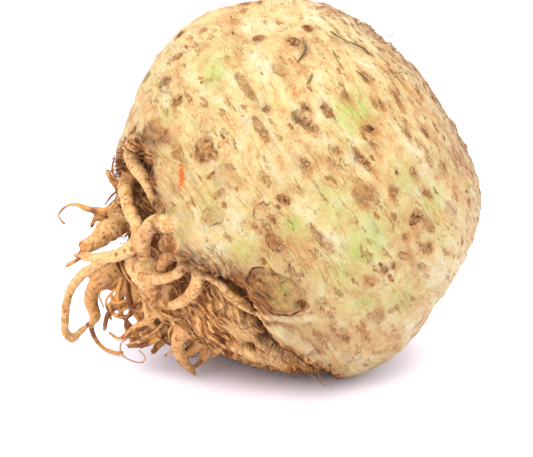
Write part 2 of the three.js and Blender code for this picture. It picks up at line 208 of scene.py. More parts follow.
# %% [markdown]
# ## The roots' paths
#
# The trimmed roots are each different, so the ones that show are placed one by one, as a line of
# points with the root's radius at each. The far side is not seen, and its roots follow a rule: they
# leave the ground of the tuft, wander, and hang down.

# %% Points on each root: right, up, toward, radius
ROOTS = {
    "smooth_lobe": [
        (-57.6, -24.6, 22, 3.6), (-54.6, -26, 23, 5.4), (-50.4, -28.6, 22, 6.8), (-45.6, -32.4, 20, 8.6),
        (-40.6, -36.2, 19, 10), (-34, -41, 18, 10.4), (-27, -45, 15, 9)],
    "upper_strand": [
        (-57.8, 12.4, 18, 2.4), (-54.8, 7.4, 29, 2.4), (-51.4, 1.6, 36, 2), (-49, -5, 39, 1.3)],
    "left_lobe": [(-57.4, 14, 6, 4.6), (-57.2, 7, 12, 4.8), (-57.4, 0, 13, 4.4), (-57, -6, 12, 3.4)],
    "cheek_strand": [(-45, 9, 36.5, 2.6), (-45.6, 2, 40, 2.3), (-46.2, -3, 40.5, 2.1), (-47, -8.6, 39, 1.7)],
    "long_bent": [
        (-58.4, 1.6, 17, 2.9), (-58.6, -3, 26, 2.6), (-57.2, -8, 31.5, 2.4), (-54.8, -12.6, 34, 2.4),
        (-55, -17, 33.5, 2.4), (-57.8, -20.4, 30, 2.3), (-63, -22.6, 26, 2.2), (-72.5, -23.2, 20, 1.7),
        (-76.4, -22.4, 18, 0.9)],
    "from_cheek": [
        (-39, -13.6, 50, 2.2), (-42, -12.6, 52.6, 2.8), (-45.5, -11.4, 52.6, 2.9), (-49, -11.4, 50.5, 2.7),
        (-51.6, -14, 47, 2.5), (-52.6, -18, 43.5, 2.4), (-52.8, -22, 41, 2.3)],
    "fat_stub": [
        (-56, -8, 6, 4.6), (-63.6, -13.4, 14, 3.8), (-67.8, -16.5, 16, 3.4), (-71.2, -18.6, 17, 3.1),
        (-74.6, -20.3, 17, 2.5)],
    "thin_curl": [
        (-57, -3, 6, 2.6), (-62.2, -5, 9, 1.9), (-65.4, -7.2, 9, 1.5), (-69, -7, 8.5, 1.3),
        (-73, -6.2, 8, 1.1), (-75.6, -5, 8, 0.8), (-79, -5.4, 8, 0.5), (-82, -8.6, 7, 0.4),
        (-81, -10.6, 7, 0.4), (-78.4, -12.8, 7, 0.35)],
    "dark_hook": [
        (-60, -12, 6, 2), (-65, -10.6, 7, 1.4), (-68, -9.4, 7.4, 1.2), (-70, -10.2, 7.4, 1.1),
        (-70.5, -12.6, 7, 0.9)],
    "top_hook": [
        (-60, -1, 8, 1.5), (-62.3, 1.4, 9, 1), (-64.5, 5, 10, 0.9), (-65.3, 6.6, 10, 0.7),
        (-65.6, 3, 10, 0.6)],
    "far_hoop": [
        (-62, -24, 1, 3), (-68, -26, -2, 2.3), (-72.6, -28, -5, 2), (-76, -31.4, -9, 1.8),
        (-78.6, -36, -14, 1.7), (-79.8, -43, -19, 1.7), (-79.6, -49, -24, 1.7), (-77.4, -51.2, -26, 1.5),
        (-74.6, -48.8, -26, 1.4), (-71.6, -46, -26, 1.1)],
    "thick_dark": [
        (-60, -26, 4, 3.4), (-65.6, -29.6, 0, 3), (-69.4, -33, -4, 2.8), (-71, -38, -8, 2.6),
        (-69.4, -43.4, -10, 2), (-70.8, -46.6, -12, 1), (-69.4, -51, -14, 0.8), (-66.4, -54.4, -16, 0.7),
        (-61.6, -56, -15, 0.7), (-58.6, -55.4, -13, 0.6)],
    "behind_middle": [
        (-57, -27, 4, 2.4), (-59.6, -31.6, 2, 1.9), (-60.8, -37, 0, 1.6), (-60.4, -42, -2, 1.1)],
    "left_low": [(-55, -33, 8, 2), (-61, -36, 2, 1.4), (-64.4, -40, 0, 1.1), (-64, -44.4, 0, 0.9)],
    "crossing": [
        (-39.4, -22.6, 40, 2.2), (-39.6, -27, 42, 1.9), (-43.6, -29.8, 39.6, 1.8), (-49, -30.6, 37.6, 1.7),
        (-54.6, -29.6, 35.4, 1.6)],
    "curved_right": [
        (-35, -23, 40, 2.4), (-34, -30, 43, 2.2), (-36, -35, 41, 2.1), (-39.6, -38.2, 37, 2),
        (-43.4, -40, 32, 1.6)],
    "cut_stump": [(-38, -15, 38, 5), (-42, -17.4, 48, 4.2), (-44.2, -19.4, 53, 3.7)],
    "under_stump": [(-41.5, -21, 37, 3), (-45.4, -24.4, 37, 2.4), (-47, -28.4, 34.5, 1.6)],
    "middle_down": [
        (-54.6, -29, 12, 2.6), (-55.4, -34.4, 13, 2), (-54.4, -39.6, 13, 1.9), (-53, -43.6, 12, 1.8),
        (-51.6, -46, 11, 1.3)],
    "hooked": [
        (-52, -34, 15, 1.8), (-51.2, -40.4, 15.6, 1.5), (-49.8, -45, 15, 1.5), (-50.6, -48.2, 14, 1.4),
        (-54, -49, 12, 1.3), (-57.2, -48, 11, 1.2), (-59.2, -45, 11, 0.8)],
    "branching": [
        (-54, -38, 9, 1.5), (-61.2, -40, 8.6, 1), (-64.8, -42.2, 8, 0.9), (-66, -46.2, 8, 0.8),
        (-66.4, -50, 7, 0.5)],
    "low_near": [(-34, -40, 17, 2.6), (-42, -45, 15, 1.9), (-47.2, -48.6, 12, 1.7), (-51.4, -50.6, 10, 1.3)],
    "low_far": [(-34, -45, 8, 2.8), (-42, -49, 7, 2.1), (-48, -51.6, 5, 1.5)],
    "bundle": [(-48, -40, 1, 3.4), (-53, -46, 0, 2.6), (-56.4, -51.6, 0, 1.6)],
    "bundle_2": [(-46, -44, 6, 2.6), (-50.4, -49.4, 5, 1.9), (-53.4, -53.6, 4, 1.2)],
    "bundle_3": [(-44, -47, 6, 2.4), (-46.6, -52, 4, 1.6), (-49.6, -55.6, 3, 1.1)],
    "front_thin": [(-50, -33, 19, 1.4), (-52.4, -38, 20, 1.2), (-51, -44, 19.6, 1.1), (-47, -49.6, 17, 1)],
    "front_thin_2": [
        (-46, -40, 21, 1.3), (-50.6, -44.6, 20, 1.2), (-56, -47, 17, 1.1), (-60, -50.6, 12, 0.9)],
    "low_ridge": [
        (-30, -40, 33, 2.2), (-24, -44.6, 34, 2.6), (-17, -49, 32.6, 2.6), (-9, -53.6, 28, 2.2),
        (-2, -57, 22, 1.6)],
    "low_ridge_2": [(-28, -46, 27, 2.4), (-21, -51.4, 26, 3), (-13, -55.6, 23, 2.8), (-5, -58.6, 18, 2)],
    "low_ridge_3": [
        (-30, -36, 37, 1.6), (-24, -40.4, 38.6, 1.8), (-18, -44.6, 38, 1.7), (-12, -48.4, 35.6, 1.4)],
    "foot_near": [
        (-33, -41, 21, 4.4), (-39.4, -48, 21, 3), (-41, -54, 16, 2.3), (-38.8, -59, 9, 1.8),
        (-35.1, -63.2, 3, 0.9)],
    "foot_inner": [(-29, -47, 16, 3), (-33.6, -52.4, 14, 2.3), (-37.6, -56, 11, 1.6)],
    "foot_stub": [(-31, -52, 10, 2.6), (-32, -57.4, 7, 1.7), (-34.2, -60, 5, 1)],
    "flake": [(-25, -44, 24, 2.4), (-26, -51, 22, 2.1), (-28.4, -56, 17, 1.5)],
    "in_crease": [
        (-36, -24, 39.6, 1), (-33.2, -27.4, 43, 1), (-30.2, -30, 44.6, 1.3), (-26.4, -32.2, 45.6, 1.5),
        (-22.6, -36, 44.6, 1.3), (-18.4, -38, 44, 1.2), (-15.6, -40.4, 42, 0.86)],
    "crease_splinter": [
        (-36, -19, 45, 0.9), (-31, -23.4, 47.4, 1.2), (-25.6, -28.4, 48, 1.1), (-20, -31, 48, 0.9)],
    "crease_splinter_2": [
        (-27, -34, 43, 1), (-22, -38, 44, 1.2), (-17, -41, 43, 1.1), (-11.6, -43.6, 41, 0.9)],
    "pale_ridge": [
        (-13.6, -41.8, 43.6, 1), (-10, -45.4, 45.2, 1.6), (-5.9, -48.4, 45.2, 2), (-2.4, -50.8, 42.2, 2),
        (1, -53.2, 38.2, 1.8), (4.5, -55.3, 34, 1.3), (8, -56.8, 30, 0.9)],
    "flap": [
        (-11.6, -41.2, 47, 0.86), (-8.6, -43.3, 52.8, 1), (-4.5, -44.3, 52.2, 1.1), (1, -44.7, 49.4, 0.9),
        (6.4, -43.4, 48.2, 0.86)],
}

# %% Ridges of the ground that are no roots, and roots that end in a flat cut
RIDGES = {"low_ridge", "low_ridge_2", "low_ridge_3", "pale_ridge", "flap", "left_lobe"}
# how strongly each ridge shows; its crest is painted pale, as pale bark with a painted highlight
RIDGE_SHOWS = {"pale_ridge": 1.0, "flap": 0.8, "low_ridge": 0.7, "low_ridge_2": 0.75, "low_ridge_3": 0.4}
LOBE_SMOOTH_FOR = 13  # millimetres from its end; after that it is matted like the ground
CUT_FLAT = {"cut_stump", "fat_stub", "crossing"}

# %% How dark each root's bark is, 0 pale to 1 dark; the others are drawn by lot
TONES = {
    "smooth_lobe": 0.0, "pale_ridge": 0.0, "from_cheek": 0.1, "crossing": 0.1, "curved_right": 0.15,
    "long_bent": 0.12, "fat_stub": 0.15, "upper_strand": 0.1, "cheek_strand": 0.1, "left_lobe": 0.4,
    "cut_stump": 0.25, "under_stump": 0.5, "far_hoop": 0.12, "thick_dark": 0.7, "behind_middle": 0.6,
    "left_low": 0.6, "branching": 0.15, "bundle": 0.8, "bundle_2": 0.6, "bundle_3": 0.7, "dark_hook": 1.0,
    "middle_down": 0.7, "hooked": 0.5, "low_near": 0.6, "foot_near": 0.5, "foot_inner": 0.7, "flake": 0.3,
    "front_thin": 0.5, "front_thin_2": 0.6, "in_crease": 0.2, "crease_splinter": 0.6,
}

# %% A smooth path through a root's points, and the rule for the far side
ROOT_SEED = 7
FAR_ROOTS, FAR_TURN, FAR_SPREAD, FAR_POINTS = 17, (195, 350), (8, 46), 5
FAR_RADIUS, FAR_RADIUS_MORE, FAR_STEP, FAR_STEP_MORE = 1.6, 1.3, 5, 4.5  # and so much more by lot
STARTS_UNDER, KEEPS_HEADING, WANDERS, HANGS = 5, 0.35, 1.5, 0.28
FLOOR_GAP = 0.3
# shares of these roots that are kept, so that nothing lies on the floor in front of the tuft
STOPS_SHORT = {"far_13": 0.5, "far_15": 0.5, "far_16": 0.6}


def smooth_path(points, radii, step=1.0):
    """Centres and radii every step millimetres along a curve through the points."""
    p = np.vstack([2 * points[0] - points[1], points, 2 * points[-1] - points[-2]])
    gap = np.sqrt(np.linalg.norm(np.diff(p, axis=0), axis=1))
    centres, sizes = [], []
    for i in range(1, len(p) - 2):
        a, b, c, d = p[i - 1 : i + 3]
        ga, gb, gc = gap[i - 1 : i + 2]
        leave = ((b - a) / ga - (c - a) / (ga + gb) + (c - b) / gb) * gb
        arrive = ((c - b) / gb - (d - b) / (gb + gc) + (d - c) / gc) * gb
        count = max(2, int(np.linalg.norm(c - b) / step))
        t = np.linspace(0, 1, count, endpoint=i == len(p) - 3)[:, None]
        cubic = (2 * b - 2 * c + leave + arrive) * t**3 + (-3 * b + 3 * c - 2 * leave - arrive) * t**2
        centres.append(cubic + leave * t + b)
        sizes.append(radii[i - 1] + (radii[i] - radii[i - 1]) * t[:, 0])
    return np.vstack(centres), np.concatenate(sizes)


def draw(i, k):
    """Lot number k of root i, from 0 to 1."""
    wave = math.sin(i * 12.9898 + k * 78.233 + ROOT_SEED) * 43758.5453
    return wave - math.floor(wave)


def ruled_root(i, turn, spread, base, step, thins=0.6, flare=1.0):
    """A root of the far side: leaves the tuft's ground, wanders and hangs down."""
    turn, spread = math.radians(turn), math.radians(spread)
    n = ROOT_POLE * math.cos(spread) + ROOT_LOW * math.sin(spread) * math.cos(turn)
    n = n + ROOT_NEAR * math.sin(spread) * math.sin(turn)
    heading = unit(n + ROOT_POLE * KEEPS_HEADING)
    points = [n * (bulb_radius(n[None])[0] - STARTS_UNDER) + CENTRE]
    radii = [base + flare]
    for k in range(1, FAR_POINTS):
        points.append(points[-1] + heading * step)
        radii.append(base * (1 - thins * k / FAR_POINTS))
        wander = np.array([draw(i, 10 * k + axis) - 0.5 for axis in range(3)]) * WANDERS
        heading = unit(heading + wander - np.array([0, 0, HANGS]))
    return np.array(points), np.array(radii)


# %% All the thick roots, kept off the floor
paths = {}
for name, rows in ROOTS.items():
    rows = np.array(rows)
    paths[name] = (drawn(*rows[:, :3].T) + CENTRE, rows[:, 3])
for i in range(FAR_ROOTS):
    turn = FAR_TURN[0] + (FAR_TURN[1] - FAR_TURN[0]) * (i + 0.8 * draw(i, 1)) / FAR_ROOTS
    spread = FAR_SPREAD[0] + (FAR_SPREAD[1] - FAR_SPREAD[0]) * draw(i, 2)
    base, step = FAR_RADIUS + FAR_RADIUS_MORE * draw(i, 4), FAR_STEP + FAR_STEP_MORE * draw(i, 3)
    paths[f"far_{i}"] = ruled_root(i, turn, spread, base, step)
for points, radii in paths.values():
    points[:, 2] = np.maximum(points[:, 2], radii + FLOOR_GAP)
paths = {name: smooth_path(points, radii) for name, (points, radii) in paths.items()}
for name, share in STOPS_SHORT.items():
    centres, radii = paths[name]
    stop = int(len(radii) * share)
    paths[name] = (centres[:stop], radii[:stop] * np.linspace(1, 0.4, stop))
print(len(paths), "thick roots,", sum(len(c) for c, _ in paths.values()), "points along them")

# %% [markdown]
# ## Numbers that wander smoothly
#
# Skin, bark and root are never even. This noise gives each point in space a number that changes
# smoothly from place to place, and `fbm` adds finer and finer layers of it.

# %% Noise for the relief
def noise(p, seed=0):
    """Smooth noise from -1 to 1, one number for each row of p."""
    cell = np.floor(p).astype(np.int64)
    f = p - cell
    f = f * f * f * (f * (f * 6 - 15) + 10)
    total = np.zeros(len(p))
    for corner in range(8):
        d = np.array([corner & 1, corner >> 1 & 1, corner >> 2 & 1])
        c = cell + d
        h = (c[:, 0] * 73856093) ^ (c[:, 1] * 19349663) ^ (c[:, 2] * 83492791) ^ (seed * 26544357)
        h = ((h ^ (h >> 13)) * 1274126177) & 0xFFFFFFFF
        weight = np.prod(np.where(d, f, 1 - f), axis=1)
        total += weight * ((h ^ (h >> 15)) & 0xFFFF) / 0xFFFF
    return total * 2 - 1


def fbm(p, octaves=3, seed=0):
    """Layers of noise, each twice as fine and half as strong as the one before."""
    total, size = np.zeros(len(p)), 1.0
    for k in range(octaves):
        total += noise(p * 2**k, seed + k) * size
        size *= 0.5
    return total


def along_grain(n):
    """Millimetres across the skin's streaks, then two coordinates that change along them."""
    side = unit(np.cross(GRAIN, [0.0, 1.0, 0.0]))
    other = np.cross(GRAIN, side)
    angle = np.arccos(np.clip(n @ GRAIN, -1, 1))
    return np.stack([angle, n @ side, n @ other], -1) * BULB_RADIUS


def raggedness(n):
    """How far the crease wanders from its drawn line in each direction, in degrees."""
    return 1.1 * fbm(n * 9, 3, seed=3)


# %% [markdown]
# ## One skin out of bulb and roots
#
# The bulb is a fine ball moved out to its formula, with a lip that leans over the crease. The roots
# are tubes along their paths, made by geometry nodes, because a tube along a path is what they are.
# A voxel remesh then melts them all into one skin, as they grew, and the inner corners are filled a
# little, so that each root flares out of the bulb.

# %% Helpers for node trees
# Each adds its nodes to `tree`, the one in hand, which group_tree and new_material set.
class Wire:
    """What leaves a node by one socket. A sum, difference or product of wires is a math node."""

    def __init__(self, socket):
        self.socket = socket

    def __add__(self, more):
        return calc("ADD", self, more)

    def __sub__(self, less):
        return calc("SUBTRACT", self, less)

    def __mul__(self, factor):
        return calc("MULTIPLY", self, factor)

    def other(self, output):
        """The wire from another output of the same node."""
        return Wire(self.socket.node.outputs[output])


def node(kind, inputs=(), **settings):
    """A new node in the tree in hand, each input a value or a wire; gives its first output."""
    made = tree.nodes.new(kind)
    for key, value in settings.items():
        setattr(made, key, value)
    for key, value in dict(inputs).items():
        if isinstance(value, Wire):
            tree.links.new(value.socket, made.inputs[key])
        else:
            made.inputs[key].default_value = value
    return Wire(made.outputs[0])


def calc(operation, *values, clamp=False):
    """A math node on numbers or wires."""
    return node("ShaderNodeMath", dict(enumerate(values)), operation=operation, use_clamp=clamp)


def vector(operation, a, b):
    """A vector math node; SCALE takes a number as b."""
    second = "Scale" if operation == "SCALE" else 1
    return node("ShaderNodeVectorMath", {0: a, second: b}, operation=operation)


def send(wire, socket):
    tree.links.new(wire.socket, socket)


def group_tree(name, kind, inputs, outputs):
    """A new node group as the tree in hand: {name: (type, default)} in, {name: type} out."""
    global tree
    tree = bpy.data.node_groups.new(name, kind)
    for key, (socket, default) in inputs.items():
        made = tree.interface.new_socket(key, in_out="INPUT", socket_type="NodeSocket" + socket)
        if default is not None:
            made.default_value = default
    for key, socket in outputs.items():
        tree.interface.new_socket(key, in_out="OUTPUT", socket_type="NodeSocket" + socket)
    given = {socket.name: Wire(socket) for socket in tree.nodes.new("NodeGroupInput").outputs}
    return tree, given, tree.nodes.new("NodeGroupOutput").inputs


def evaluated(ob, group, values):
    """The plain mesh that the geometry nodes make of ob, with the group's named inputs set."""
    modifier = ob.modifiers.new(group.name, "NODES")
    modifier.node_group = group
    sockets = {item.name: item.identifier for item in group.interface.items_tree}
    for key, value in values.items():
        modifier[sockets[key]] = value
    mesh = bpy.data.meshes.new_from_object(ob.evaluated_get(bpy.context.evaluated_depsgraph_get()))
    ob.modifiers.remove(modifier)
    return mesh


def link(ob):
    """Puts the object in the scene."""
    bpy.context.scene.collection.objects.link(ob)
    return ob


# %% The tube tree: a round profile carried along each curve
tubes, given, out = group_tree(
    "Tubes",
    "GeometryNodeTree",
    {"Curves": ("Geometry", None), "Sides": ("Int", 12), "Material": ("Material", None)},
    {"Mesh": "Geometry"},
)


def swept(curve, sides, radius, material):
    """A round profile of so many sides, carried along the curve, as real mesh in the material."""
    profile = node("GeometryNodeCurvePrimitiveCircle", {"Resolution": sides, "Radius": 1.0})
    mesh = node("GeometryNodeCurveToMesh", {
        "Curve": curve, "Profile Curve": profile, "Scale": radius, "Fill Caps": True})
    real = node("GeometryNodeRealizeInstances", {0: mesh})
    return node("GeometryNodeSetMaterial", {"Geometry": real, "Material": material})


own_radius = node("GeometryNodeInputRadius")
send(swept(given["Curves"], given["Sides"], own_radius, given["Material"]), out[0])


def curve_object(name, lines):
    """A curve object with one poly line for each (centres, radii), in metres."""
    data = bpy.data.curves.new(name, "CURVE")
    data.dimensions = "3D"
    for centres, radii in lines:
        spline = data.splines.new("POLY")
        spline.points.add(len(centres) - 1)
        spline.points.foreach_set("co", np.c_[centres / 1000, np.ones(len(centres))].ravel())
        spline.points.foreach_set("radius", radii / 1000)
    return link(bpy.data.objects.new(name, data))


def round_tip(centres, radii):
    """The path with its last stretch narrowed to a rounded end."""
    end, r = centres[-1], radii[-1]
    heading = unit(centres[-1] - centres[-2])
    extra = np.array([0.35, 0.65, 0.85, 0.97])
    tips = end + heading * r * extra[:, None]
    return np.vstack([centres, tips]), np.concatenate([radii, r * np.sqrt(1 - extra**2)])


# %% The thick roots as tubes
ROOT_SIDES = 14
THINNEST_FUSED = 0.85  # a thinner root is lost in the voxels and is made apart, below
fused_lines = []
for name, (centres, radii) in paths.items():
    thick = radii >= THINNEST_FUSED
    last = len(radii) if thick.all() else int(np.argmin(thick))
    line = (centres[:last], radii[:last])
    fused_lines.append(line if name in CUT_FLAT else round_tip(*line))
tube_object = curve_object("root_paths", fused_lines)
root_mesh = evaluated(tube_object, tubes, {"Sides": ROOT_SIDES})
bpy.data.objects.remove(tube_object)
print("thick roots as tubes:", len(root_mesh.polygons), "faces")

# %% The ball moved out to the bulb's form, with its lip leaning over the crease
LEAN, LEAN_AT, LEAN_WIDTH = 0.026, 0.6, 2.6
ball = bmesh.new()
bmesh.ops.create_icosphere(ball, subdivisions=7, radius=1.0)
bulb_mesh = bpy.data.meshes.new("bulb")
ball.to_mesh(bulb_mesh)
ball.free()
n = np.empty(len(bulb_mesh.vertices) * 3)
bulb_mesh.vertices.foreach_get("co", n)
n = unit(n.reshape(-1, 3))
ragged = raggedness(n)
outside, depth = about_root_pole(n)
lean = LEAN * (depth / USUAL_DEPTH) * np.exp(-(((outside + ragged - LEAN_AT) / LEAN_WIDTH) ** 2))
p = n * (bulb_radius(n, ragged) - between_roots(n, outside + ragged))[:, None]
p += (ROOT_POLE - n * (n @ ROOT_POLE)[:, None]) * (lean * BULB_RADIUS)[:, None]
bulb_mesh.vertices.foreach_set("co", ((p + CENTRE) / 1000).ravel())

# %% Melt them together
VOXEL = 0.00079  # metres
joined = bmesh.new()
joined.from_mesh(bulb_mesh)
joined.from_mesh(root_mesh)
soup = bpy.data.meshes.new("soup")
joined.to_mesh(soup)
joined.free()
soup_object = link(bpy.data.objects.new("soup", soup))
remesh = soup_object.modifiers.new("melt", "REMESH")
remesh.mode = "VOXEL"
remesh.voxel_size = VOXEL
skin_mesh = bpy.data.meshes.new_from_object(
    soup_object.evaluated_get(bpy.context.evaluated_depsgraph_get()))
bpy.data.objects.remove(soup_object)
print("one skin:", len(skin_mesh.vertices), "points,", len(skin_mesh.polygons), "faces")

# %% Each point's place, its normal and its neighbours
def coordinates(mesh):
    flat = np.empty(len(mesh.vertices) * 3)
    mesh.vertices.foreach_get("co", flat)
    return flat.reshape(-1, 3)


def normals(mesh):
    flat = np.empty(len(mesh.vertices) * 3)
    mesh.vertex_normals.foreach_get("vector", flat)
    return flat.reshape(-1, 3)


edges = np.empty(len(skin_mesh.edges) * 2, int)
skin_mesh.edges.foreach_get("vertices", edges)
ends = np.concatenate([edges[0::2], edges[1::2]])
others = np.concatenate([edges[1::2], edges[0::2]])
count = len(skin_mesh.vertices)
degree = np.maximum(np.bincount(ends, minlength=count), 1)


def neighbours(values):
    """The mean of each point's neighbours' values."""
    if values.ndim == 1:
        return np.bincount(ends, values[others], minlength=count) / degree
    return np.stack([neighbours(values[:, k]) for k in range(values.shape[1])], -1)


# %% Even the whole skin out, then fill the inner corners a little
EVEN_TURNS, FILL_TURNS, EVEN_PULL, FILL_PULL, CORNER_FROM = 2, 5, 0.5, 0.55, 0.05
co = coordinates(skin_mesh) * 1000
for turn in range(EVEN_TURNS + FILL_TURNS):
    up = normals(skin_mesh)
    pull = neighbours(co) - co
    hollow = np.einsum("ij,ij->i", pull, up)
    fill_pull = np.clip(hollow / CORNER_FROM, 0, 1) * FILL_PULL
    co = co + pull * np.where(turn < EVEN_TURNS, EVEN_PULL, fill_pull)[:, None]
    skin_mesh.vertices.foreach_set("co", (co / 1000).ravel())
    skin_mesh.update()
print("the skin's size, mm:", np.round(co.max(0) - co.min(0), 1))

# %% [markdown]
# ## What each point of the skin is
#
# Colour and relief both depend on where a point is: on the bulb or in the tuft, on a root and how
# far along it, in a scar or beside one. Each of these is worked out once for every point and kept
# on the mesh, so that the relief and the colour agree.

# %% How far outside the crease each point lies, and how high over the bulb's form
rel = co - CENTRE
n = unit(rel)
outside, depth = about_root_pole(n)
outside += raggedness(n)
ground = bulb_radius(n)
height = np.linalg.norm(rel, axis=1) - ground

# %% The nearest root: how surely a point is on it, how far along, how dark, how thick
FAR_OFF, ROOTS_REACH, ROWS_AT_ONCE = 99.0, 22, 4000
ROOT_CLEAR, ROOT_FADE, RIDGE_CLEAR, RIDGE_FADE = 0.25, 0.9, 0.3, 1.3  # mm past its surface
barked = {name: path for name, path in paths.items() if name not in RIDGES}
barked["smooth_lobe"] = tuple(part[:LOBE_SMOOTH_FOR] for part in barked["smooth_lobe"])
all_centres = np.vstack([c for c, _ in barked.values()])
all_radii = np.concatenate([r for _, r in barked.values()])
all_along = np.concatenate([np.arange(len(r), dtype=float) for _, r in barked.values()])
all_left = np.concatenate([len(r) - 1 - np.arange(len(r), dtype=float) for _, r in barked.values()])
all_tone = np.concatenate([
    np.full(len(r), TONES.get(name, draw(k, 90))) for k, (name, (_, r)) in enumerate(barked.items())])
root = np.zeros(count)
along = np.zeros(count)
left = np.full(count, FAR_OFF)
tone = np.zeros(count)
size = np.ones(count)
near = np.flatnonzero(outside < ROOTS_REACH)
for start in range(0, len(near), ROWS_AT_ONCE):
    rows = near[start : start + ROWS_AT_ONCE]
    d = np.linalg.norm(co[rows, None, :] - all_centres[None], axis=2) - all_radii
    k = np.argmin(d, axis=1)
    root[rows] = smooth(1 - (d[np.arange(len(rows)), k] - ROOT_CLEAR) / ROOT_FADE)
    along[rows], left[rows], tone[rows], size[rows] = all_along[k], all_left[k], all_tone[k], all_radii[k]
for _ in range(2):
    root = 0.5 * root + 0.5 * neighbours(root)

# %% Ridges, and the bounds of the tuft
ridge = np.zeros(count)
for name, shows in RIDGE_SHOWS.items():
    centres, radii = paths[name]
    d = (np.linalg.norm(co[near, None, :] - centres[None], axis=2) - radii).min(1)
    ridge[near] = np.maximum(ridge[near], shows * smooth(1 - (d - RIDGE_CLEAR) / RIDGE_FADE))
stands_out = smooth((height - 0.9 - 0.12 * np.clip(outside, 0, 20)) / 1.2) * smooth(outside / 3)
root *= np.where(outside > 0, stands_out, 1)
tuft = np.maximum(smooth((-outside + 1.5) / 3.0), root)
print("on a root:", int((root > 0.5).sum()), "points; in the tuft:", int((tuft > 0.5).sum()))
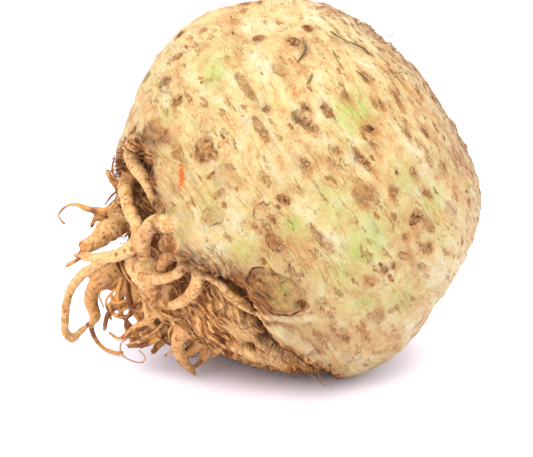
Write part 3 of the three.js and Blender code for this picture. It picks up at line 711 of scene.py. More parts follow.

# %% [markdown]
# ## Scars
#
# Every old root and leaf leaves a scar. The marks that show on the side towards the eye are listed
# one by one: how far right and up they are, their long and short radius, their turn from the rings
# round the crown, how brown they are, how dark their rim, and how far they stand out or sink in.
# The rest of the bulb gets its scars from a seeded rule, most of them near the crown.

# %% The marks that show
SCARS = [
    # right, up, long, short, turn, fill, rim, lift
    (-31.3, 13.1, 3.8, 3.5, 0, 0.75, 0.8, 0.5),
    (-40.9, 31.1, 2.3, 2.0, 0, 0.9, 0.7, -0.4),
    (-45.4, 37.5, 3.1, 1.9, 40, 0.8, 0.6, -0.4),
    (-40.9, 46.1, 1.9, 1.2, 60, 0.85, 0.5, -0.4),
    (-13.1, 51.9, 2.3, 1.9, 0, 0.9, 0.6, -0.3),
    (-32, 54.7, 1.5, 0.9, 30, 0.8, 0.4, -0.3),
    (-24, 45, 1.2, 0.9, 0, 0.5, 0.4, 0.2),
    (-5.8, 41.3, 2.9, 1.8, 20, 0.45, 0.5, 0.3),
    (-10.3, 27.5, 1.5, 1.0, 0, 0.85, 0.6, -0.4),
    (0.7, 25.5, 2.4, 2.0, 0, 0.55, 0.4, 0.2),
    (-1.4, 51.1, 3.0, 1.8, 0, 1.0, 0.8, -0.6),
    (4.1, 55.7, 3.0, 1.4, 0, 1.0, 0.7, -0.4),
    (3.1, 28.2, 1.8, 1.0, 10, 1.0, 0.5, -0.4),
    (3.1, 23, 5.0, 1.6, 25, 0.8, 0.7, -0.4),
    (10.1, 27.5, 2.4, 1.3, 0, 0.85, 0.5, -0.3),
    (13.1, 51.6, 2.2, 1.1, 0, 0.6, 0.4, -0.2),
    (22.4, 49, 1.5, 0.9, 0, 0.7, 0.3, -0.3),
    (17.2, 31.6, 2.3, 1.1, 0, 0.6, 0.4, 0.2),
    (23.7, 38.5, 2.2, 1.2, 0, 0.8, 0.5, 0.4),
    (34.4, 31.8, 2.0, 0.9, 0, 0.9, 0.4, -0.3),
    (29.2, 29.2, 1.8, 1.0, 0, 0.85, 0.4, -0.3),
    (25.8, 14.8, 1.5, 1.2, 0, 0.5, 0.7, 0.2),
    (24.8, 21, 2.1, 1.2, 35, 1.0, 0.5, -0.5),
    (44, 19.6, 2.6, 1.0, 0, 0.8, 0.4, -0.3),
    (37.8, 19.6, 2.2, 0.9, 0, 0.8, 0.3, -0.3),
    (23.4, 9.3, 3.6, 1.1, 0, 1.0, 0.4, -0.4),
    (3.1, 8.9, 1.9, 1.1, 15, 0.75, 0.5, -0.4),
    (13.8, 13.4, 1.6, 1.1, 0, 0.65, 0.4, -0.3),
    (23.4, -1.4, 4.3, 3.4, 10, 0.55, 0.25, 0.5),
    (-25.1, 4.8, 3.4, 3.1, 0, 0.3, 0.3, 0.4),
    (40.9, -9.3, 3.0, 1.9, 75, 1.0, 0.9, -0.6),
    (33.2, -0.7, 1.9, 1.4, 0, 0.7, 0.4, -0.3),
    (44.7, -1.5, 2.6, 1.0, 20, 0.85, 0.4, -0.3),
    (-4.5, -3.6, 2.1, 1.3, 20, 0.95, 0.7, -0.4),
    (-10.3, -7.9, 3.8, 3.5, 0, 0.0, 0.75, 0.5),
    (-28.4, -8.6, 3.1, 2.6, 80, 0.2, 0.75, 0.4),
    (53.3, -6.9, 3.0, 2.0, 0, 0.5, 0.3, 0.3),
    (-7.2, -18.2, 3.4, 2.3, 15, 0.6, 0.75, 0.4),
    (-13, -14, 2.6, 0.8, 10, 0.6, 0.4, -0.2),
    (8.6, -17.2, 4.8, 1.2, 5, 0.6, 0.5, -0.2),
    (-19.3, -20.3, 4.2, 3.6, 0, 0.0, 0.12, 0.8),
    (29.9, -27.5, 1.3, 1.1, 0, 0.85, 0.5, -0.3),
    (33.4, -26.1, 1.2, 1.0, 0, 0.85, 0.5, -0.3),
    (37.0, -22.8, 2.6, 1.1, 15, 0.55, 0.8, 0.2),
    (37.2, -16.2, 1.1, 0.9, 0, 0.85, 0.3, -0.3),
    (44.7, -11.4, 3.2, 1.5, 0, 0.6, 0.3, 0.2),
    (43.3, -26.5, 2.2, 0.9, 20, 0.6, 0.5, -0.2),
    (25.1, -31, 2.4, 0.8, 30, 0.5, 0.4, 0.4),
    (27.2, -43, 3.0, 2.3, 0, 0.5, 0.5, 0.5),
    (33.4, -40.9, 2.4, 1.2, 80, 0.35, 0.6, -0.3),
    (16.9, -50.9, 1.7, 1.1, 0, 0.8, 0.5, -0.3),
    (5.8, -56.2, 1.9, 1.8, 0, 0.35, 0.95, 0.5),
    (45.8, -19.6, 1.5, 1.3, 0, 0.85, 0.5, -0.3),
    (41.6, -45.8, 1.8, 1.0, 60, 0.8, 0.4, -0.3),
    (56.8, -17.5, 1.6, 1.0, 0, 0.8, 0.5, -0.3),
    (-7.2, -35.2, 9.8, 4.9, 27, 0.36, 2.2, 1.0),  # the largest, and what lies in it
    (0.4, -38.8, 3.0, 1.6, 24, 0.95, 0.9, -0.7),
    (-12.6, -31, 3.2, 0.5, 12, 1.0, 0.6, -0.4),
    (-5, -31.6, 3.2, 0.5, 24, 1.0, 0.7, -0.5),
    (-9.6, -36.4, 2.6, 0.5, 30, 0.9, 0.5, -0.4),
    (-3.6, -36.2, 2.2, 0.5, 40, 1.0, 0.6, -0.4),
    (-14.6, -34.6, 1.8, 0.4, 75, 0.8, 0.6, -0.3),
    (-49.2, 19.3, 5.4, 4.4, 0, 0.35, 0.45, 0.5),
    (-51.9, 17.9, 1.3, 1.1, 0, 0.85, 0.6, -0.4),
    (-48.8, 19.6, 1.6, 1.1, 60, 0.85, 0.6, -0.4),
    (-45.4, 19.6, 1.6, 1.0, 60, 0.95, 0.6, -0.5),
    (-56.4, 21, 2.4, 1.6, 60, 1.0, 0.5, -0.9),
    (-17.9, 35.8, 7.0, 1.3, 0, 0.5, 0.5, -0.3),
    (-12, 20.3, 5.0, 1.4, 0, 0.6, 0.5, -0.3),
    (-31, 23, 2.9, 2.5, 0, 0.08, 0.4, 0.3),
    (-21, 58.1, 1.7, 1.0, 0, 0.6, 0.3, 0.2),
    (-29.5, 5, 0.7, 2.0, 0, 0.9, 0.3, -0.2),
    (-27, -1.5, 0.8, 2.2, 0, 0.6, 0.3, -0.2),
    (40, 6, 2.8, 1.1, 0, 0.7, 0.4, 0.2),
    (50, 8, 2.4, 1.0, 0, 0.7, 0.4, 0.2),
]


def on_bulb(right, up):
    """The direction in which a mark drawn so far right and up lies on the bulb's near side."""
    toward = 40.0
    for _ in range(30):
        p = drawn(right, up, toward)
        r = bulb_radius(unit(p)[None])[0]
        flat = p - ROOT_NEAR * (p @ ROOT_NEAR)
        toward = 0.5 * toward + 0.5 * math.sqrt(max(r * r - flat @ flat, 0.0))
    return unit(drawn(right, up, toward))


# %% The seeded ones, crowded towards the crown
SCAR_SEED, MORE_SCARS = 31, 330
SCARRED_TO = 62  # most of them lie within so many degrees of the crown
NEAR_SIDE = math.cos(math.radians(62)) * 0.55  # past this a direction faces the drawn marks' side
rng = np.random.default_rng(SCAR_SEED)
scars = [(on_bulb(right, up), *rest) for right, up, *rest in SCARS]
while len(scars) < len(SCARS) + MORE_SCARS:
    at = unit(rng.normal(size=3))
    from_crown = math.degrees(math.acos(at @ CROWN))
    likely = 0.2 + math.exp(-((from_crown / SCARRED_TO) ** 2))
    if rng.random() > likely or about_root_pole(at[None])[0][0] < 5:
        continue
    small = at @ ROOT_NEAR > NEAR_SIDE
    if small and from_crown > SCARRED_TO:
        continue
    faint = rng.random() < 0.4
    long = rng.uniform(0.8, 1.8) * (0.75 if small else 1.3) * (1.6 if faint else 1)
    short = long * rng.uniform(0.35, 0.9 if from_crown > 50 or faint else 0.55)
    if any(at @ s[0] > math.cos((long + s[1] * 0.8) / BULB_RADIUS) for s in scars):
        continue
    brown = rng.uniform(0.05, 0.3) if faint else rng.uniform(0.5, 1)
    scars.append((at, long, short, rng.normal(0, 14), brown, rng.uniform(0.3, 0.9),
                  rng.choice([-0.35, 0.35, 0.2])))
print(len(scars), "scars")

# %% How deep in a scar each point is
SHADED_SIDE = math.radians(200)  # the rim's painted shade is darkest on this side, give or take
LARGE_RIM = 1  # a darker rim than this is the largest scar's, with a smoother outline
scar = np.full(count, 3.0)
beyond = np.full(count, 9.0)  # millimetres outside the rim
side = np.zeros(count)
fill = np.zeros(count)
rim = np.zeros(count)
lift = np.zeros(count)
on_skin = np.flatnonzero(outside > -4)
skin_n = n[on_skin]
for at, long, short, turned, brown, edge, rise in scars:
    close = on_skin[skin_n @ at > math.cos(min(1.2, 3.2 * long / BULB_RADIUS))]
    if not len(close):
        continue
    ring = unit(np.cross(GRAIN, at))
    across = np.cross(at, ring)
    a = math.radians(turned)
    u, v = ring * math.cos(a) + across * math.sin(a), across * math.cos(a) - ring * math.sin(a)
    x, y = n[close] @ u * BULB_RADIUS / long, n[close] @ v * BULB_RADIUS / short
    ragged_rim = 0.3 if edge < LARGE_RIM else 0.12
    r = np.hypot(x, y) + ragged_rim * fbm(n[close] * BULB_RADIUS / (0.5 * short + 0.6), 2, seed=5)
    wins = r < scar[close]
    scar[close[wins]], fill[close[wins]], rim[close[wins]] = r[wins], brown, edge
    beyond[close[wins]] = ((r - 1) * math.sqrt(long * short))[wins]
    # painted shade: each rim is darker on one side, round about SHADED_SIDE
    dark_at = SHADED_SIDE + rng.normal(0, 1.0)
    faces = (x * math.cos(dark_at) + y * math.sin(dark_at)) / np.maximum(np.hypot(x, y), 0.2)
    side[close[wins]] = faces[wins]
    pit = np.exp(-((r / 0.85) ** 2)) * rise + 0.3 * np.exp(-(((r - 1.05) / 0.25) ** 2)) * edge
    pit += 0.05 * min(long, 5) * np.sin(r * 13) * smooth((1.1 - r) / 0.3) * edge
    lift[close] += pit
print("in a scar:", int((scar < 1).sum()), "of", count, "points")

# %% Green, tan and orange patches: right, up, radius, strength
GREEN = [
    (-27.9, 40.9, 6, 0.8), (-33.7, 44.4, 4, 0.6), (17.9, 24.8, 5.5, 1.0), (22.4, 30.3, 4, 0.8),
    (37.5, 3.4, 5, 0.7), (46.8, -3.1, 4.5, 0.7), (-1, -12.7, 4, 1.0), (23, -19.6, 6, 1.0),
    (-19.3, -20.3, 5, 0.6), (22.7, -38.9, 4, 0.8), (12, -6, 8, 0.5), (30, -12, 6, 0.6),
    (-44, 26, 4, 0.5), (-42, 12, 3, 0.5), (-6, 32, 5, 0.3), (35, -38, 7, 0.5), (-30, -4, 5, 0.4),
    (14, -30, 7, 0.4), (50, -16, 5, 0.4), (-5, -35.5, 3.5, 1.0),
]
TAN = [
    (-12, -33, 4, 1.2), (-17.5, -36, 3, 0.9), (-2, -30, 9, 0.8), (8, -44, 11, 0.7), (22, -53, 9, 0.6),
    (-20, -28, 6, 0.5), (-45, 20, 6, 0.6), (36, 36, 13, 0.5), (52, 14, 10, 0.5), (0, 52, 8, 0.4),
    (-38, 44, 7, 0.3), (40, -24, 8, 0.35), (26, 0, 6, 0.3), (-5, 10, 5, 0.2),
]
ORANGE = [
    (-40.2, 8.6, 0.7, 1.2), (-39.8, 6.8, 0.8, 1.3), (-39.7, 5, 0.8, 1.3), (-39.8, 3.2, 0.8, 1.2),
    (-40.1, 1.6, 0.7, 1), (-1, 33, 0.5, 1), (19, -43, 0.5, 0.9), (-29, -33, 0.8, 0.4),
]


def patches(rows):
    """How strongly each point is coloured by soft round patches on the near side."""
    value = np.zeros(count)
    for right, up, radius, strength in rows:
        value += strength * np.exp((n @ on_bulb(right, up) - 1) / ((radius / BULB_RADIUS) ** 2 / 2))
    return value


green, tan, orange = patches(GREEN), patches(TAN), patches(ORANGE)

# %% Tan beside the crease, green at the crown, and both by lot on the side that is hidden
grain_coords = along_grain(n)
tan += 0.8 * np.exp(-np.clip(outside, 0, 60) / 7) * np.clip(depth / USUAL_DEPTH, 0, 1)
hidden = smooth((0.25 - n @ ROOT_NEAR) / 0.3)
green += 0.8 * np.exp((n @ CROWN - 1) / 0.03)
green += hidden * smooth(fbm(grain_coords / (6, 14, 14), 3, seed=51) * 1.3 - 0.1) * 0.6
tan += hidden * smooth(fbm(grain_coords / (11, 22, 22), 2, seed=61) * 1.2) * 0.6
print("mean green and tan:", round(float(green.mean()), 3), round(float(tan.mean()), 3))

# %% [markdown]
# ## Relief
#
# The bulb has low ridges along its streaks, coarser and crustier near the crown, with pits and knobs
# at its scars. The ground of the tuft is fibrous and ragged. Roots shrink as they dry, so fine
# wrinkles run round them. All of it is noise, drawn out along the grain or along the root.

# %% The bulb's relief, in mm: the sizes are across the streaks, then along them
RIDGE_SIZE, COARSE_SIZE, PORE_SIZE = (3.2, 15, 15), (1.9, 6, 6), (0.95, 2.2, 2.2)
RIDGE_HEIGHT, RIDGE_CRUSTY, COARSE_HEIGHT, PORE_HEIGHT, SWELL_HEIGHT = 0.28, 0.2, 0.58, 0.07, 0.35
RING_STEP, RING_HEIGHT, RINGED_TO = 5.0, 0.5, 26  # rings of old leaf stalks round the crown
from_crown = np.arccos(np.clip(n @ CROWN, -1, 1)) * BULB_RADIUS
crusty = smooth((78 - from_crown) / 50) * (1 - 0.6 * np.exp(-((from_crown / 16) ** 2)))
ridges = fbm(grain_coords / RIDGE_SIZE + 0.6 * noise(co / 9, seed=17)[:, None], 3, seed=11)
coarse = fbm(grain_coords / COARSE_SIZE, 2, seed=23)
pores = fbm(grain_coords / PORE_SIZE, 2, seed=27)
bulb_out = ridges * (RIDGE_HEIGHT + RIDGE_CRUSTY * crusty) + coarse * COARSE_HEIGHT * crusty
bulb_out += lift + PORE_HEIGHT * pores + SWELL_HEIGHT * fbm(co / 14, 2, seed=29)
ring_at = (from_crown / RING_STEP) % 1.0
bulb_out += RING_HEIGHT * smooth((RINGED_TO - from_crown) / 8) * (np.abs(ring_at - 0.5) - 0.25) * 2
print("bulb's relief, mm:", round(float(bulb_out.min()), 2), "to", round(float(bulb_out.max()), 2))

# %% The tuft's bark, which runs round the root pole, and the wrinkles round each root
FOLD_SIZE, FIBRE_SIZE = (3.2, 10, 10), (1.3, 5, 5)
FOLD_HEIGHT, FIBRE_HEIGHT, CLOD_HEIGHT = 1.5, 0.5, 0.4
ROOT_WRINKLE, ROOT_SWELL, ROOT_MOST = 0.09, 0.12, 0.4
around_pole = np.arctan2(n @ ROOT_NEAR, n @ ROOT_LOW)
from_pole = np.arccos(np.clip(n @ ROOT_POLE, -1, 1)) * BULB_RADIUS
side_ways = np.sin(from_pole / BULB_RADIUS)[:, None] * BULB_RADIUS
bark = np.c_[from_pole, np.c_[np.cos(around_pole), np.sin(around_pole)] * side_ways]
bark = bark + 2.2 * np.stack([noise(co / 8, k) for k in (71, 72, 73)], -1)
folds = 0.45 - 1.5 * np.abs(fbm(bark / FOLD_SIZE, 3, seed=37))
fibres = 0.45 - 1.5 * np.abs(fbm(bark / FIBRE_SIZE, 2, seed=39))
ground_out = FOLD_HEIGHT * folds + FIBRE_HEIGHT * fibres + CLOD_HEIGHT * fbm(co / 2.6, 2, seed=38)
ground_out *= (1 - 0.6 * ridge) * (0.4 + 0.6 * smooth((co[:, 2] - 3) / 14))
wrinkle_at = np.stack([along / 0.95 + tone * 50, co[:, 0] / 4 + co[:, 2] / 9, co[:, 1] / 4], -1)
root_out = (ROOT_WRINKLE * size) * fbm(wrinkle_at, 2, seed=41) + ROOT_SWELL * size * fbm(co / 5, 1, seed=43)
root_out = np.clip(root_out, -ROOT_MOST, ROOT_MOST)

# %% Move each point out or in, but not where the bulb rests on the floor
LOWEST, STEADY_TO, STEADY_FADE = 0.02, 0.2, 1.5
out_by = bulb_out * (1 - tuft) + tuft * (ground_out * (1 - root) + root_out * root)
steady = smooth((co[:, 2] - STEADY_TO) / STEADY_FADE)
co = co + normals(skin_mesh) * (out_by * steady)[:, None]
co[:, 2] = np.maximum(co[:, 2], LOWEST)
skin_mesh.vertices.foreach_set("co", (co / 1000).ravel())
skin_mesh.update()

# %% How shut in each point of the tuft is, felt out with short rays, for the painted shade below
quads = np.empty(len(skin_mesh.polygons) * 4, int)
skin_mesh.polygons.foreach_get("vertices", quads)
quads = quads.reshape(-1, 4)
tree_of_faces = BVHTree.FromPolygons(co.tolist(), quads.tolist())
FEELERS, REACH, GOLDEN_ANGLE = 12, 14.0, 2.39996
STARTS_OVER, CLOSE_COUNTS = 0.35, 0.7
around = np.arange(FEELERS) * GOLDEN_ANGLE
rise = 1 - (np.arange(FEELERS) + 0.5) / FEELERS * 0.8
spread = np.sqrt(1 - rise**2)
feelers = np.stack([np.cos(around) * spread, np.sin(around) * spread, rise], -1)
up = normals(skin_mesh)
shut_in = np.zeros(count)
for i in np.flatnonzero(outside < 7):
    z = up[i]
    x = np.cross(z, [0.0, 1.0, 0.0] if abs(z[1]) < 0.9 else [1.0, 0.0, 0.0])
    x /= math.sqrt(x @ x)
    rays = feelers @ np.stack([x, np.cross(z, x), z])
    start = Vector(co[i] + z * STARTS_OVER)
    hits = 0.0
    for ray in rays.tolist():
        far = tree_of_faces.ray_cast(start, ray, REACH)[3]
        if far is not None:
            hits += 1 - far / REACH * CLOSE_COUNTS
    shut_in[i] = hits / FEELERS
for _ in range(3):
    shut_in = 0.4 * shut_in + 0.6 * neighbours(shut_in)
print("shut in, mean over the tuft:", round(float(shut_in[outside < 0].mean()), 3))

# %% Dirt and painted shade: darker in the crease and just outside it, between the roots, in hollows, at the roots' bases and where short rays find the tuft shut in
sunk = smooth((0.4 - height) / 3.5) * tuft
in_crease = np.exp(-(((outside + CREASE_WALL) / CREASE_WALL) ** 2)) * np.clip(depth / USUAL_DEPTH, 0, 1.3)
matted = smooth(fbm(co / 9, 2, seed=81) * 1.3 + 0.6)
hollow = np.einsum("ij,ij->i", neighbours(neighbours(co)) - co, normals(skin_mesh))
# painted shade where the tuft sinks, in the crease and in hollows, with dirt in patches
dirt_and_shade = 0.3 * sunk + 1.9 * in_crease * (0.5 + 0.5 * matted) + np.clip(hollow / 0.06, 0, 1) * 0.8
# less on the roots, and painted shade at each root's base, where it leaves the bulb
dirt_and_shade = dirt_and_shade * (1 - 0.7 * root) + 0.5 * root * np.exp(-along / 4)
dirt_and_shade += 0.35 * root * smooth((tone - 0.5) / 0.5)
# painted shade where the short rays found the tuft shut in
dirt_and_shade = dirt_and_shade * 0.6 + 1.4 * smooth((shut_in - 0.2) / 0.55) * (1 - 0.8 * root)
# painted shade where the near roots stand thick
dirt_and_shade += between_roots(n, outside) * (1 - root) * 0.13
# painted shade just outside the crease, under its lip
beside = np.exp(-np.clip(outside, 0, 30) / 3.5) * matted * (outside > 0)
dirt_and_shade += 0.9 * beside * np.clip(depth / USUAL_DEPTH, 0, 1)
dirt_and_shade = np.clip(dirt_and_shade, 0, 1) * (1 - 0.9 * ridge)
for _ in range(2):
    dirt_and_shade = neighbours(dirt_and_shade)
tip = np.exp(-left / 2.0) * root
print("dirt, mean over the tuft:", round(float(dirt_and_shade[outside < 0].mean()), 3))

# %% [markdown]
# ## Two pieces of one skin
#
# The skin is cut along the bottom of the crease, so that each of the two pieces stays light, and
# both keep the normals of the whole, so the cut can't be seen.

# %% Cut the skin and keep what each point is
per_point = {
    "scar": scar, "scar_edge": beyond, "scar_shaded_side": side, "scar_fill": fill, "scar_rim": rim,
    "green": green, "tan": tan, "orange": orange, "crusty": crusty, "tuft": tuft, "ridge": ridge,
    "root": root, "along": along, "tone": tone, "tip": tip, "dirt_and_shade": dirt_and_shade,
}
in_tuft = outside[quads].mean(1) < -CREASE_WALL * 0.6
whole_normals = normals(skin_mesh)


def piece_of_skin(name, chosen):
    """A piece made of the chosen faces, with what is kept on their points."""
    used, corner = np.unique(chosen, return_inverse=True)
    mesh = bpy.data.meshes.new(name)
    mesh.from_pydata((co[used] / 1000).tolist(), [], corner.reshape(-1, 4).tolist())
    for key, values in per_point.items():
        mesh.attributes.new(key, "FLOAT", "POINT").data.foreach_set("value", values[used])
    for key, values in {"flow": grain_coords, "bark": bark}.items():
        made = mesh.attributes.new(key, "FLOAT_VECTOR", "POINT")
        made.data.foreach_set("vector", values[used].ravel())
    mesh.shade_smooth()
    mesh.normals_split_custom_set_from_vertices(whole_normals[used].tolist())
    return link(bpy.data.objects.new(name, mesh))


bulb_skin = piece_of_skin("bulb_skin", quads[~in_tuft])
tuft_skin = piece_of_skin("tuft_skin", quads[in_tuft])
print("bulb:", len(bulb_skin.data.polygons) * 2, "triangles; tuft:", len(tuft_skin.data.polygons) * 2)

# %% [markdown]
# ## Rootlets and threads
#
# Roots thinner than a millimetre or so are left out of the fused skin. The long thin ends of the
# roots above, the loose strands that show, and many short ones by rule are tubes of their own,
# each starting inside the skin. A few dry olive threads lie on the bulb near its top.

# %% The strands that show: right, up, toward, radius
STRANDS = {
    "over_lobe": [(-60.5, -20, 22, 0.5), (-60.6, -25, 21, 0.45), (-59, -29, 20, 0.4), (-54, -35.4, 18, 0.35)],
    "low_loop": [
        (-57, -50, 5, 0.3), (-60.6, -53, 5, 0.25), (-60.2, -56.5, 4, 0.22), (-57, -58.6, 3, 0.22),
        (-53, -59.2, 3, 0.2), (-52.2, -57.6, 3, 0.2), (-54.4, -55, 4, 0.18)],
    "right_hair": [(-2, -58, 22, 0.25), (1.7, -61, 16, 0.2), (5.2, -63.8, 12, 0.16), (9.8, -67.6, 12, 0.12)],
    "right_hair_2": [(0, -58, 22, 0.22), (3.6, -61.6, 17, 0.18), (7, -62.6, 14, 0.14), (8.2, -65, 13, 0.1)],
    "side_hair": [(59, -8, 5, 0.15), (62.2, -7.6, 4, 0.12), (64.5, -7.5, 3, 0.08)],
    "tag": [
        (-73, -22.6, 20, 0.5), (-76.4, -24.4, 20, 0.7), (-78.6, -25.6, 20, 0.8), (-79.6, -26.4, 20, 0.3)],
    "branch_2": [
        (-56, -37, 10, 0.9), (-61.2, -38.8, 10, 0.7), (-63.4, -38.4, 9, 0.6), (-63.8, -35.4, 8, 0.5)],
    "edge_hair": [(31, 52.6, 3, 0.2), (33.4, 54, 2, 0.16), (33.2, 56, 2, 0.1)],
    "low_a": [(-52, -36, 17, 0.7), (-57, -41, 16, 0.6), (-59, -47, 13, 0.5), (-56, -52.6, 10, 0.4)],
    "low_b": [
        (-48, -38, 18, 0.8), (-53.6, -41.6, 19, 0.7), (-58.6, -40.6, 16, 0.55), (-62.6, -43.6, 12, 0.4)],
    "low_c": [(-44, -42, 21, 0.7), (-47.6, -47.4, 20, 0.6), (-53, -51, 17, 0.5), (-58.6, -53.4, 12, 0.35)],
    "low_d": [(-57, -33, 10, 0.6), (-62.6, -34.4, 9, 0.5), (-65.8, -38.6, 8, 0.45), (-64, -43.4, 8, 0.35)],
    "low_e": [(-50, -42, 16, 0.6), (-49, -48, 17, 0.6), (-44.6, -52.6, 15, 0.5), (-39.6, -54, 14, 0.4)],
    "low_f": [(-60, -30, 8, 0.5), (-64, -33, 8, 0.45), (-68, -35.4, 6, 0.4), (-66.4, -40.4, 4, 0.3)],
    "mid_a": [(-58, -28, 14, 1.2), (-58.6, -34, 14, 1.1), (-57, -40, 14, 1), (-54, -45, 13, 0.9)],
    "mid_b": [(-60, -30, 10, 0.9), (-61.6, -36, 10, 0.8), (-60.6, -42, 9, 0.8), (-56.6, -47.4, 9, 0.7)],
    "mid_c": [(-55, -41, 14, 0.8), (-59, -43.6, 13, 0.8), (-63, -42.6, 11, 0.7), (-65, -39, 10, 0.5)],
    "mid_d": [(-50, -46, 14, 0.9), (-56, -49.6, 12, 0.8), (-61.6, -51, 10, 0.6), (-64.6, -49, 9, 0.4)],
    "mid_e": [(-46, -50, 13, 1), (-52, -53, 10, 0.9), (-58, -53.6, 8, 0.7)],
    "low_g": [(-41, -44, 21, 0.5), (-44, -49, 20, 0.5), (-42.6, -53.8, 17, 0.4), (-45.4, -57, 13, 0.3)],
    "ruff_a": [(-62.6, 12, 10, 0.25), (-63.6, 7, 12, 0.4), (-61.6, 1, 16, 0.35), (-62.4, -3, 14, 0.2)],
    "ruff_b": [(-60, 1, 20, 0.3), (-63.4, -1.6, 18, 0.45), (-66, -5, 14, 0.3)],
    "web": [(-31.6, -53, 12, 0.9), (-32, -57.6, 9, 0.7), (-34.6, -60.4, 7, 0.4)],
    "swirl_a": [(-26, -50, 27, 0.3), (-24, -53.5, 24, 0.25), (-27, -55, 23, 0.22), (-29.4, -52, 25, 0.2)],
    "swirl_b": [(-18, -50, 29, 0.3), (-13, -52.5, 28, 0.25), (-8, -53, 28, 0.2), (-5, -55.6, 26, 0.18)],
}
ON_SKIN = [  # right, up, away from the skin, radius
    [(1.7, 53, -0.6, 0.35), (2.6, 50, 0.8, 0.5), (2.8, 47, 1.2, 0.5), (0, 43.6, 0.2, 0.35)],
    [(5.2, 40.6, -0.4, 0.3), (4.8, 38.4, 0.9, 0.45), (3.4, 36, 0.2, 0.3)],
    [(11.4, 54.6, 0, 0.25), (16, 51, 0.8, 0.3), (22, 48.2, 0.9, 0.3), (26.4, 45.6, 0, 0.2)],
    [(19, 42, -0.3, 0.2), (22.4, 38.6, 0.9, 0.32), (24.4, 36, 0, 0.2)],
    [(12, 49, 0, 0.15), (13.6, 44.6, 0.7, 0.2), (16.4, 40.6, 0, 0.15)],
]

# %% Paths of the threads, the strands and the roots' thin ends
LINE_STEP, THREAD_SHRINKS, END_SHRINKS = 0.8, 0.85, 0.97
skin_lines, lines = [], []
for rows in ON_SKIN:
    at = np.array([on_bulb(right, up) for right, up, _, _ in rows])
    off, radii = np.array(rows)[:, 2:].T
    points = at * (bulb_radius(at) + off)[:, None] + CENTRE
    skin_lines.append(smooth_path(points, radii * THREAD_SHRINKS, LINE_STEP))
for rows in STRANDS.values():
    rows = np.array(rows)
    lines.append(smooth_path(drawn(*rows[:, :3].T) + CENTRE, rows[:, 3], LINE_STEP))
for centres, radii in paths.values():
    if radii.min() < THINNEST_FUSED:
        lines.append((centres[:-1], radii[:-1] * END_SHRINKS))

# %% More rootlets by the rule of the far side
MORE_ROOTLETS, ROOTLET_LOTS, THINNEST = 100, 500, 0.08
for i in range(MORE_ROOTLETS):
    turn, spread = 200 + 150 * draw(i, 201), 6 + 47 * draw(i, 202) ** 0.7
    base, step = 0.22 + 0.5 * draw(i, 204) ** 2, 2.2 + 2.6 * draw(i, 203)
    points, radii = ruled_root(i + ROOTLET_LOTS, turn, spread, base, step, thins=0.9, flare=0.2)
    points[:, 2] = np.maximum(points[:, 2], radii + FLOOR_GAP)
    lines.append(smooth_path(points, radii, 1.2))
lines = [(c, np.maximum(r, THINNEST)) for c, r in lines]
print(len(lines), "rootlets and strands,", len(skin_lines), "threads")

# %% [markdown]
# ## Materials
#
# The skin's material reads what was kept on each point and adds what is finer than the mesh: flowing
# streaks along the rings, flecks, thin rusty lines, grain in the scars and fibre in the tuft. Streaks,
# flecks and squiggles are groups of their own, because several places use them. A colour is built in
# coats, as paint is, each with a share that says where it shows.

# %% Small helpers for shaders
def ramp(value, low, high, to_low=0.0, to_high=1.0):
    """A smooth step as the value goes from low to high."""
    return node("ShaderNodeMapRange", {
        "Value": value, "From Min": low, "From Max": high, "To Min": to_low, "To Max": to_high},
        interpolation_type="SMOOTHSTEP")


def mix(factor, a, b):
    """Colour a where the factor is 0, colour b where it is 1."""
    return node("ShaderNodeMix", {0: factor, 6: a, 7: b}, data_type="RGBA").other(2)


def blend(factor, a, b):
    """The same for two numbers."""
    return node("ShaderNodeMix", {0: factor, 2: a, 3: b}, data_type="FLOAT")


def coats(base, *layers):
    """The base with each (share, colour) laid over what is under it."""
    for share, over in layers:
        base = mix(share, base, over)
    return base


def texture(at, scale, detail, **more):
    """Noise at the place."""
    return node("ShaderNodeTexNoise", {"Vector": at, "Scale": scale, "Detail": detail, **more})


def kept(name, output="Fac"):
    """What is kept on the mesh's points under this name."""
    return node("ShaderNodeAttribute", attribute_name=name).other(output)


def use(group, flow, across, along, **more):
    """One of the groups below, with values of its own."""
    return node("ShaderNodeGroup", {"Flow": flow, "Across": across, "Along": along, **more}, node_tree=group)


def new_material(name):
    """A material, its tree now the one in hand, and the sockets of its shader."""
    global tree
    made = bpy.data.materials.new(name)
    made.use_nodes = True
    tree = made.node_tree
    return made, tree.nodes["Principled BSDF"].inputs


LIT = 0.46  # the studio is brighter than full white, so that the paper burns out; surfaces are darker


def colour(*parts):
    """A colour as it looks under the studio's light, 0 to 255, as what the surface sends back."""
    parts = [c / 255 for c in parts]
    linear = [c / 12.92 if c <= 0.04045 else ((c + 0.055) / 1.055) ** 2.4 for c in parts]
    return tuple(LIT * c for c in linear) + (1.0,)


def flow_group(name, inputs, outputs):
    """A shader group that reads the flow of the skin, with named numbers in and numbers out."""
    sockets = {"Flow": ("Vector", None)} | {key: ("Float", default) for key, default in inputs.items()}
    return group_tree(name, "ShaderNodeTree", sockets, {key: "Float" for key in outputs})


def drawn_out(at):
    """The place divided by the group's sizes across and along the flow."""
    sizes = node("ShaderNodeCombineXYZ", {0: given["Across"], 1: given["Along"], 2: given["Along"]})
    return vector("DIVIDE", at, sizes)


